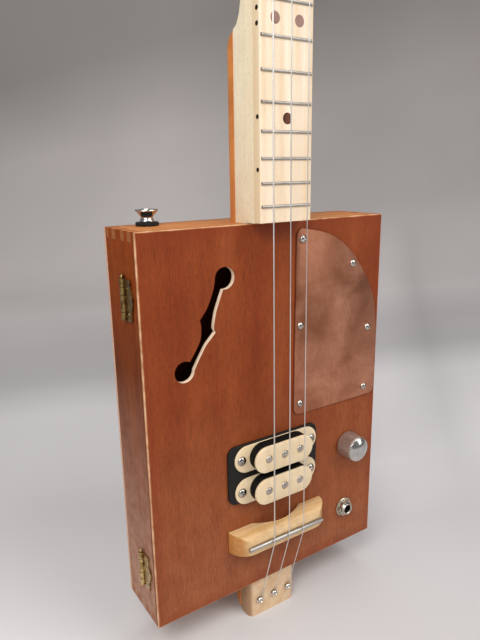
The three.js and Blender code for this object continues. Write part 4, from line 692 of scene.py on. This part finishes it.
# Wound string: fine rings round a steel core, drawn wide enough to catch light.
def woundMaterial():
    add = newMaterial("woundString")
    coords = add("TexCoord").outputs
    rings = add("TexWave", {"wave_type": "BANDS", "bands_direction": "Z", "Distortion": 0.0,
                            "Vector": coords["Object"],
                            "Scale": 1000 / stringLook["windingMm"] / 6.2832 * 2}).outputs["Fac"]
    tone = add("ValToRGB", {"Fac": rings, "stops": [(0.1, "#cbc7c1"), (0.6, "#f3f1ed")]})
    bump = add("Bump", {"Strength": 0.6, "Distance": 0.0001, "Height": rings})
    shader = add("BsdfPrincipled", {"Metallic": 1.0, "Roughness": 0.34, "Base Color": tone, "Normal": bump})
    add("OutputMaterial", {"Surface": shader})


woundMaterial()
for name, material in (("low", "woundString"), ("middle", "drawnSteel"), ("high", "drawnSteel")):
    bm = packedCopy("string_" + name)
    roundEdges(bm, [e for e in sharpEdges(bm, 40) if e.calc_length() > stringLook["longEdge"]],
               stringLook["edge"], 1)
    newPiece(name + "String", bm, material, ("string_" + name,), smooth=75, placed=True)
print("strings dressed")


# Bridge and its rod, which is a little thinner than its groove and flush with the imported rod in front

bridgeLook = {"halfBase": 40, "shoulder": 14, "low": 34.8, "high": 49.8, "height": 12.5, "crest": 42.2,
              "upright": 4.6,
              "archHalf": 20.7, "archHeight": 7, "edge": 0.6, "rod": 1.6, "rodHalf": 32, "rodY": -13.6,
              "rodZ": 40.3, "bar": 1.4}


def makeBridge():
    look = SimpleNamespace(**bridgeLook)
    foot, top = -seatGap, -seatGap - look.height
    quarter = [math.radians(90 * i / 24) for i in range(25)]
    end = look.halfBase - look.shoulder
    rising = [(-end - look.shoulder * math.cos(a), foot - look.height * math.sin(a)) for a in quarter]
    falling = [(-x, y) for x, y in reversed(rising)]
    arch = [(look.archHalf * (1 - i / 12), foot - look.archHeight * (1 - (1 - i / 12) ** 2))
            for i in range(25)]
    bm = slab(bmesh.new(), rising + falling + arch, "xy", look.low, look.high)
    slopeFoot = foot - look.upright
    slope = [(slopeFoot + (top - slopeFoot) * math.cos(a),
              look.crest + (look.high - look.crest) * math.sin(a)) for a in quarter]
    slope += [(slopeFoot, look.high + 2), (top - 2, look.high + 2), (top - 2, look.crest)]
    cutAway(bm, slab(bmesh.new(), slope, "yz", -45, 45))
    groove = look.rod + 0.15
    cutAway(bm, turn(bmesh.new(), [(0, -50), (groove, -50), (groove, 50), (0, 50)], (0, look.rodY, look.rodZ),
                     "x"))
    bmesh.ops.remove_doubles(bm, verts=bm.verts, dist=0.05)
    bmesh.ops.dissolve_limit(bm, angle_limit=math.radians(0.5), verts=bm.verts, edges=bm.edges)
    roundEdges(bm, [e for e in sharpEdges(bm) if min(v.co.y for v in e.verts) < foot - 0.5
                    and abs(e.verts[0].co.x) > 0.1], look.edge, 3)
    newPiece("bridgeBlock", bm, "oiledBridgeWood", ("bridge",), smooth=40)
    r, half = look.bar, look.rodHalf
    profile = [(0, -half), (r - 0.4, -half), (r - 0.12, -half + 0.12), (r, -half + 0.4), (r, half - 0.4),
               (r - 0.12, half - 0.12), (r - 0.4, half), (0, half)]
    bm = turn(bmesh.new(), profile, (0, look.rodY - look.rod + r + hair, look.rodZ), "x")
    newPiece("bridgeRod", bm, "drawnRod", ("saddle_rod",), smooth=40)


makeBridge()
print("bridge made")


# Pickup

pickupLook = {"x": -1, "z": 90.2, "length": 74.8, "width": 42.2, "shiftX": -1.4, "shiftZ": 0.9, "corner": 6,
              "thick": 1.8, "pitch": 23.5, "ears": 69, "earWidth": 19, "earThick": 1.2, "flange": 48.2,
              "flangeWidth": 18.4, "flangeThick": 2, "core": 38, "coreWidth": 7, "face": -12.4, "coil": 46.6,
              "coilWidth": 19.3, "pole": 2.5, "poleHole": 2.7, "proud": 0.7, "poleSpacing": 13.15,
              "screwX": 29.4, "screwHead": 3.3, "screwDome": 2.0, "shank": 1.2, "reach": 6}


def makePickup():
    look = SimpleNamespace(**pickupLook)
    cx, face, flangeBack = look.x, look.face, look.face + look.flangeThick
    bx, bz = cx + look.shiftX, look.z + look.shiftZ
    plan = roundedPlan(bx - look.length / 2, bx + look.length / 2, bz - look.width / 2, bz + look.width / 2,
                       look.corner)
    bm = slab(bmesh.new(), plan, "xz", -seatGap - look.thick, -seatGap)
    roundFront(bm, 0.4, 3)
    newPiece("pickupBase", bm, "mouldedBlackAbs", ("pickup_base",))
    seat = -look.thick - 2 * seatGap
    earFront = seat - look.earThick
    poles = [cx + step * look.poleSpacing for step in (-1, 0, 1)]
    hole = look.poleHole
    bore = [(0, face - 1), (hole + 0.15, face - 1), (hole + 0.15, face), (hole, face + 0.15),
            (hole, face + 1),
            (0, face + 1)]
    r, top = look.pole, face - look.proud
    dome = [(r * math.sin(math.radians(a)), top + (1 - math.cos(math.radians(a)))) for a in range(0, 81, 10)]
    dome += [(r, top + 1.02), (r, face + 1.2), (0, face + 1.2)]
    for row, name, node in ((-1, "Bridge", "bridge_side"), (1, "Neck", "neck_side")):
        z = look.z + row * look.pitch / 2
        bm = slab(bmesh.new(), racetrack(look.flange, look.flangeWidth, cx, z), "xz", face, flangeBack)
        roundEdges(bm, sharpEdges(bm, 60), 0.5, 4)
        for x in poles:
            cutAway(bm, turn(bmesh.new(), bore, (x, 0, z), "y", 36))
        lower = slab(bmesh.new(), racetrack(look.ears, look.earWidth, cx, z), "xz", earFront, seat)
        roundEdges(lower, sharpEdges(lower, 60), 0.3, 3)
        slab(lower, racetrack(look.core, look.coreWidth, cx, z, 10), "xz", flangeBack - 0.1, earFront + 0.1)
        half = bpy.data.meshes.new("bobbinHalf")
        lower.to_mesh(half)
        lower.free()
        bm.from_mesh(half)
        newPiece("bobbin" + name, bm, "creamBobbinPlastic", ("bobbin_" + node,))
        bm = bmesh.new()
        for x in poles:
            turn(bm, dome, (x, 0, z), "y", 36)
        newPiece("poles" + name, bm, "poleNickel", ("bobbin_" + node,))
        bm = slab(bmesh.new(), racetrack(look.coil, look.coilWidth, cx, z, 24), "xz", flangeBack + hair,
                  earFront - hair)
        roundEdges(bm, sharpEdges(bm, 60), 0.3, 2)
        newPiece("coil" + name, bm, "coilClothTape", ("coil_" + node,), smooth=60)
        for side, sideName in ((-1, "left"), (1, "right")):
            bm = addScrew(bmesh.new(), (cx + side * look.screwX, earFront - hair, z), (0, -1, 0),
                          look.screwHead,
                          look.screwDome, 20 + 31 * row + 17 * side, look.shank, look.reach)
            newPiece("pickupScrew" + name + sideName.capitalize(), bm, "dullNickel",
                     ("pickup_screw_" + node + "_" + sideName,))


makePickup()
print("pickup made")


# Pickguard and its screws, whose places and curve are shares of its width and height

guardLook = {"left": 14.89, "right": 92.31, "bottom": 121.8, "top": 250.8, "topX": 21.5, "corner": 5,
             "thick": 1.0,
             "curve": ((1, 0.388), (0.955, 0.566), (0.832, 0.716), (0.63, 0.864), (0.385, 0.958)),
             "screws": ((0.083, 0.946), (0.667, 0.79), (0.066, 0.496), (0.88, 0.412), (0.858, 0.054),
                        (0.07, 0.061)),
             "screwHead": 2.7, "screwDome": 1.8, "shank": 1.1, "reach": 4}


def makeGuard():
    look = SimpleNamespace(**guardLook)
    wide, tall = look.right - look.left, look.top - look.bottom
    curve, screws = ([(look.left + x * wide, look.bottom + z * tall) for x, z in shares]
                     for shares in (look.curve, look.screws))
    r, front = look.corner, -seatGap - look.thick
    outline = arcPoints(look.left + r, look.bottom + r, r, 180, 270, 8)
    outline += arcPoints(look.right - r, look.bottom + r, r, -90, 0, 8)
    outline += curveThrough(curve + [(look.topX, look.top)], 8)[:-1]
    outline += arcPoints(look.topX, look.top - r, r, 90, 180, 8)
    bm = slab(bmesh.new(), outline, "xz", front, -seatGap)
    roundFront(bm, 0.25, 2)
    newPiece("copperGuard", bm, "rubbedCopperSheet", ("pickguard",))
    bm = bmesh.new()
    for count, (x, z) in enumerate(screws):
        addScrew(bm, (x, front - hair, z), (0, -1, 0), look.screwHead, look.screwDome, 25 + 37 * count,
                 look.shank, look.reach)
    newPiece("guardScrews", bm, "dullNickel", ("pickguard",))


makeGuard()
print("pickguard made")


# Knob, pot nut and jack

knobLook = {"x": 67, "z": 85.2, "radius": 9.3, "foot": 10.2, "base": -0.8, "height": 15.6, "dome": 2.6,
            "knurls": 72,
            "knurlDepth": 0.28, "hollow": 7.7, "bore": 3.4, "nut": 12, "nutFront": -2.2}


def makeKnob():
    look = SimpleNamespace(**knobLook)
    r, base, cap, foot = look.radius, look.base, look.base - look.height, look.foot
    rim = cap + look.dome
    profile = [(0, rim + 1.2), (r * 0.95, rim + 1.2), (r, rim + 1.5), (foot - 0.04, base - 0.8),
               (foot - 0.2, base - 0.6), (foot - 0.2, base), (look.hollow, base), (look.hollow, base - 3),
               (look.bore, base - 3), (look.bore, base - 11), (0, base - 11)]
    bm = turn(bmesh.new(), profile, (look.x, 0, look.z), "y", 2 * look.knurls)
    for v in bm.verts:   # every second line of the grip is pressed in
        dx, dz = v.co.x - look.x, v.co.z - look.z
        radius = math.hypot(dx, dz)
        step = round(math.atan2(dz, dx) / math.pi * look.knurls)
        if radius > r - 0.02 and rim + 1.49 <= v.co.y <= base - 0.75 and step % 2:
            shrink = (radius - look.knurlDepth) / radius
            v.co.x, v.co.z = look.x + dx * shrink, look.z + dz * shrink
    newPiece("knobGrip", bm, "knurledNickel", ("knob",), "volume_knob", 28)
    shares = [i / 16 for i in range(16)]
    dome = [(r * 0.92 * t, cap + 2.9 * t * t) for t in shares]   # nearly a ball's cap, then a rounded edge
    edge = [(r * 0.92 + 0.5 * math.sin(math.radians(a)), cap + 3.3 - 0.5 * math.cos(math.radians(a)))
            for a in range(38, 91, 13)]
    bm = turn(bmesh.new(), dome + edge + [(r * 0.96, rim + 1.25), (0, rim + 1.25)], (look.x, 0, look.z), "y",
              72)
    newPiece("knobCap", bm, "turnedNickel", ("knob",), "volume_knob", 35)
    bm = slab(bmesh.new(), hexagon(look.nut, look.x, look.z), "xz", look.nutFront, -seatGap)
    roundEdges(bm, sharpEdges(bm, 40), 0.3, 2)
    newPiece("potNut", bm, "nickelPlate", ("pot_nut",))


jackLook = {"x": 65.7, "z": 31.5, "bore": 3.2, "barrel": 4.7, "reach": 5.7, "washer": 7.4, "washerBore": 5.1,
            "washerThick": 0.7, "nut": 11.5, "nutThick": 2.4, "flange": 8, "flangeFront": 3.5,
            "flangeBack": 5.5, "frameEnd": 20.5, "threadPitch": 0.45}


def makeJack():
    look = SimpleNamespace(**jackLook)
    at = (look.x, 0, look.z)
    front, w = -seatGap - look.washerThick, look.washer
    bm = turn(bmesh.new(), [(look.washerBore, front), (w - 0.2, front), (w, front + 0.2), (w, -seatGap),
                            (look.washerBore, -seatGap), (look.washerBore, front)], at)
    newPiece("jackWasher", bm, "satinNickel", ("jack_washer",))
    nutBack = front - 0.2
    nutFront = nutBack - look.nutThick
    bm = slab(bmesh.new(), hexagon(look.nut, look.x, look.z), "xz", nutFront, nutBack)
    r = look.nut / 2
    cone = [(r - 0.1, nutFront - 1), (r - 0.1, nutFront), (r + 1.2, nutFront + 0.75),
            (r + 3, nutFront + 0.75),
            (r + 3, nutFront - 1), (r - 0.1, nutFront - 1)]
    cutAway(bm, turn(bmesh.new(), cone, at))   # the corners are turned off, as on every such nut
    hole = look.barrel + 0.1
    cutAway(bm, turn(bmesh.new(), [(0, -9), (hole, -9), (hole, 3), (0, 3)], at, "y", 40))
    newPiece("jackNut", bm, "satinNickel", ("jack_nut",), smooth=25)
    bore, outside = look.bore, look.barrel - 0.02
    ridges = []
    y = -look.reach + 0.35
    while y < nutFront:
        ridges += [(look.barrel - 0.14, y), (outside, y + 0.22)]
        y += look.threadPitch
    profile = [(bore, look.flangeBack), (bore, 0.5 - look.reach), (bore + 0.45, -look.reach),
               (look.barrel - 0.4, -look.reach), *ridges, (outside, -2), (outside, look.flangeFront),
               (look.flange, look.flangeFront), (look.flange, look.flangeBack), (bore, look.flangeBack)]
    bm = turn(bmesh.new(), profile, at, "y", 56)
    block(bm, look.x - 4, look.x + 4, look.flangeBack - 1, look.frameEnd, look.z - 7.5, look.z - 6.5)
    newPiece("jackBody", bm, "satinNickel", ("jack_body",), smooth=28)


makeKnob()
makeJack()
print("knob and jack made")


# Strap button

strapLook = {"x": -72, "y": 32.6, "z": 256, "bore": 2.2, "felt": 7.05, "feltThick": 2, "height": 7.3,
             "screwHead": 3.4, "screwDome": 0.9, "shank": 1.8, "reach": 14,
             "waist": ((4.1, 0), (4.3, 0.15), (4.3, 0.7), (4.15, 1.0), (3.75, 1.6), (3.58, 2.1), (3.62, 2.6),
                       (3.9, 3.1), (4.9, 4.3), (5.9, 5.4), (6.6, 6.0), (6.9, 6.3), (7.0, 6.5), (7.0, 6.75),
                       (6.85, 7.05))}


def makeStrapButton():
    look = SimpleNamespace(**strapLook)
    at, bore, f, h = (look.x, look.y, 0), look.bore, look.felt, look.height
    low = look.z + seatGap
    top = low + look.feltThick
    profile = [(bore, low), (f - 0.3, low), (f, low + 0.3), (f, top - 0.3), (f - 0.4, top), (bore, top),
               (bore, low)]
    newPiece("strapFelt", turn(bmesh.new(), profile, at, "z"), "pressedFelt", ("strap_felt",),
             "tray")
    foot = top + seatGap
    profile = [(bore, 0), *look.waist, (6.4, h), (5.2, h), (4.0, h - 0.1), (bore, h - 1.8), (bore, 0)]
    bm = turn(bmesh.new(), [(r, foot + up) for r, up in profile], at, "z", 56)
    newPiece("strapButton", bm, "nickelPlate", ("strap_button",), "tray")
    bm = addScrew(bmesh.new(), (look.x, look.y, foot + h - 1.5), (0, 0, 1), look.screwHead, look.screwDome,
                  25, look.shank, look.reach)
    newPiece("strapScrew", bm, "nickelPlate", ("strap_screw",), "tray")


makeStrapButton()


# Tail screws

tailLook = {"z": -18.8, "shift": 0.1, "spacing": 12.8, "head": 2.4, "dome": 1.6, "shank": 1.5, "reach": 11,
            "seat": 1.6}


def makeTailScrews():
    look = SimpleNamespace(**tailLook)
    for place, name in enumerate(("low", "middle", "high")):
        spot = ((place - 1) * look.spacing + look.shift, look.seat - hair, look.z)
        bm = addScrew(bmesh.new(), spot, (0, -1, 0), look.head, look.dome, 15 + 40 * place, look.shank,
                      look.reach)
        newPiece("tailScrew" + name.capitalize(), bm, "nickelPlate", ("tail_screw_" + name,))


makeTailScrews()


# Hinges: the imported leaves take brass, painted darker on the upper hinge for the dark backdrop it reflects,
# with small nails in the outer ones

hingeLook = {"centres": (35.9, 216.5), "plate": -95.8, "nail": 1.0, "nailDome": 0.45, "y": 11.6,
             "spread": 7.6}


def makeHinges():
    look = SimpleNamespace(**hingeLook)
    for leaf in ("front_leaf_", "tray_leaf_"):
        dress("hinge_" + leaf + "lower", "agedBrass")
        dress("hinge_" + leaf + "upper", "brownedBrass")
    bm = bmesh.new()
    nail = [(0, -look.nailDome), (look.nail * 0.6, -look.nailDome * 0.8), (look.nail, 0), (look.nail, 0.3),
            (0, 0.3)]
    for centre in look.centres:
        for step in (-1, 1):
            turn(bm, nail, (look.plate + hair, look.y, centre + step * look.spread), "x", 16)
    newPiece("hingeNails", bm, "agedBrass")


makeHinges()


# Tuning machines

for name in ("low", "middle", "high"):
    for kind, material in (("plate", "nickelPlate"), ("post", "drawnSteel"), ("button", "nickelPlate")):
        dress("tuner_" + kind + "_" + name, material)
print("fittings made")


# Stage: one pale sheet that runs from the floor up behind the guitar

# Tones follow the direction along, from before the guitar to the backdrop, and are painted light and shade:
# darker in a band on the floor behind the guitar and high on the backdrop. Across the view the sheet is
# painted darker toward the right, and in soft folds. The glow is painted light too: it lightens the floor at
# the right, behind the box, by how far it lies in the direction beside, over the box's cast shadow.
stageLook = {"floor": -0.1605, "width": 9.0, "front": -2.5, "back": 1.1, "bend": 0.7, "top": 4.0,
             "turned": -33,
             "along": (0.3265, 0.9803, 1.0), "across": (0.8387, -0.5446, 0), "beside": (0.679, -0.734, 0),
             "tones": ((0.2, "#d4d0cf"), (0.245, "#c9c5c5"), (0.31, "#cac6c6"), (0.345, "#b0acac"),
                       (0.39, "#b2aead"), (0.46, "#c8c2c0"), (0.6, "#cbc4c1"), (0.78, "#c0b9b5"),
                       (0.87, "#9c9691")),
             "glow": ((0.06, 0.0), (0.2, 0.49), (0.29, 0.49), (0.38, 0.35), (0.48, 0.18), (0.58, 0.28),
                      (0.8, 0.33))}


def stageMaterial(look):
    add = newMaterial("paperSweep")
    place = add("TexCoord").outputs["Object"]
    back = add("VectorMath", {"operation": "DOT_PRODUCT", 0: place, 1: look.along})
    along = add("MapRange", span(back, -1.0, 3.0))
    tone = add("ValToRGB", {"Fac": along, "stops": look.tones})
    side = add("VectorMath", {"operation": "DOT_PRODUCT", 0: place, 1: look.across})
    tilt = add("MapRange", span(side, -0.25, 0.2, 1.05, 0.82))
    folds = add("TexNoise", {"Scale": 2.2, "Detail": 2.0, "Vector": place})
    paintedFoldShade = add("MapRange", span(folds, 0.35, 0.65, 0.96, 1.03))
    paintedShade = add("Math", {"operation": "MULTIPLY", 0: tilt, 1: paintedFoldShade})
    beside = add("VectorMath", {"operation": "DOT_PRODUCT", 0: place, 1: look.beside})
    reach = add("MapRange", span(beside, 0.0, 0.4))
    pale = add("ValToRGB", {"Fac": reach, "stops": [(share, grey(amount)) for share, amount in look.glow]})
    behind = add("MapRange", span(back, -0.13, -0.02))
    before = add("MapRange", span(back, 0.85, 1.5, 1.0, 0.0))
    floorOnly = add("Math", {"operation": "MULTIPLY", 0: behind, 1: before})
    gain = add("Math", {"operation": "MULTIPLY", 0: pale, 1: floorOnly})
    level = add("Math", {"operation": "MULTIPLY_ADD", 0: paintedShade, 1: gain, 2: paintedShade})
    shaded = add("VectorMath", {"operation": "SCALE", 0: tone, "Scale": level})
    fibre = add("TexNoise", {"Scale": 3.0, "Detail": 3.0, "Vector": place})
    bump = add("Bump", {"Strength": 0.15, "Distance": 0.02, "Height": fibre})
    shader = add("BsdfPrincipled", {"Roughness": 0.9, "Specular IOR Level": 0.2, "Base Color": shaded,
                                    "Normal": bump})
    add("OutputMaterial", {"Surface": shader})


def makeStage():
    look = SimpleNamespace(**stageLook)
    stageMaterial(look)
    arc = arcPoints(look.back, look.floor + look.bend, look.bend, -90, 0, 16)
    profile = [(look.front, look.floor), *arc, (look.back + look.bend, look.top)]
    bm = bmesh.new()
    verts = [bm.verts.new((-look.width / 2, y, z)) for y, z in profile]
    edges = [bm.edges.new(pair) for pair in zip(verts, verts[1:])]
    made = bmesh.ops.extrude_edge_only(bm, edges=edges)["geom"]
    far = [g for g in made if isinstance(g, bmesh.types.BMVert)]
    bmesh.ops.translate(bm, vec=(look.width, 0, 0), verts=far)
    bmesh.ops.rotate(bm, cent=(0, 0, 0), matrix=Matrix.Rotation(math.radians(look.turned), 3, "Z"),
                     verts=bm.verts)
    bmesh.ops.recalc_face_normals(bm, faces=bm.faces)
    mesh = bpy.data.meshes.new("paperSweep")
    bm.to_mesh(mesh)
    bm.free()
    mesh.shade_smooth()
    mesh.materials.append(materials["paperSweep"])
    sweep = bpy.data.objects.new("paperSweep", mesh)
    bpy.context.scene.collection.objects.link(sweep)


makeStage()


# Light: a large soft box high at the front right with a low one beside it, one near the neck, weaker ones at
# the left and above, and a dim world

lights = {
    "keyBox": {"at": (0.75, -1.45, 1.55), "aim": (0, -0.03, 0.0), "size": 1.2, "power": 21},
    "lowBox": {"at": (1.0, -1.2, 0.45), "aim": (0, -0.03, 0.0), "size": 0.4, "power": 2.5},
    "neckBox": {"at": (-0.6, -0.55, 0.85), "aim": (0, -0.03, 0.35), "size": 0.5, "power": 8.5},
    "fillBox": {"at": (-1.7, -1.0, 0.8), "aim": (0, -0.03, 0.0), "size": 1.2, "power": 9},
    "topBox": {"at": (0.1, 0.2, 2.3), "aim": (0, 0.0, 0.0), "size": 1.2, "power": 16}}
worldLook = {"colour": "#e6e9ee", "strength": 0.25}


def makeLights():
    for name, look in lights.items():
        lamp = bpy.data.lights.new(name, "AREA")
        lamp.shape = "SQUARE"
        lamp.size = look["size"]
        lamp.energy = look["power"]
        item = bpy.data.objects.new(name, lamp)
        item.location = look["at"]
        item.rotation_euler = (Vector(look["aim"]) - Vector(look["at"])).to_track_quat("-Z", "Y").to_euler()
        bpy.context.scene.collection.objects.link(item)
    world = bpy.data.worlds.new("studio")
    world.use_nodes = True
    background = world.node_tree.nodes["Background"]
    background.inputs[0].default_value = srgb(worldLook["colour"])
    background.inputs[1].default_value = worldLook["strength"]
    bpy.context.scene.world = world


makeLights()


# Camera, where the photograph was taken from

cameraLook = {"at": (-0.21529, -0.33417, 0.15883), "lens": 32.0, "right": (0.83545, -0.54932, -0.01654),
              "down": (-0.15221, -0.20236, -0.96741), "ahead": (0.52807, 0.81074, -0.25267)}


def makeCamera():
    look = SimpleNamespace(**cameraLook)
    data = bpy.data.cameras.new("photoCamera")
    data.sensor_fit = "AUTO"
    data.sensor_width = 36
    data.lens = look.lens
    data.clip_start = 0.01
    camera = bpy.data.objects.new("photoCamera", data)
    turned = Matrix([Vector(look.right), -Vector(look.down), -Vector(look.ahead)]).transposed().to_4x4()
    camera.matrix_world = Matrix.Translation(look.at) @ turned
    bpy.context.scene.collection.objects.link(camera)
    bpy.context.scene.camera = camera


makeCamera()
bpy.context.scene.view_settings.view_transform = "Standard"
print("stage, light and camera set")

bpy.context.view_layer.update()
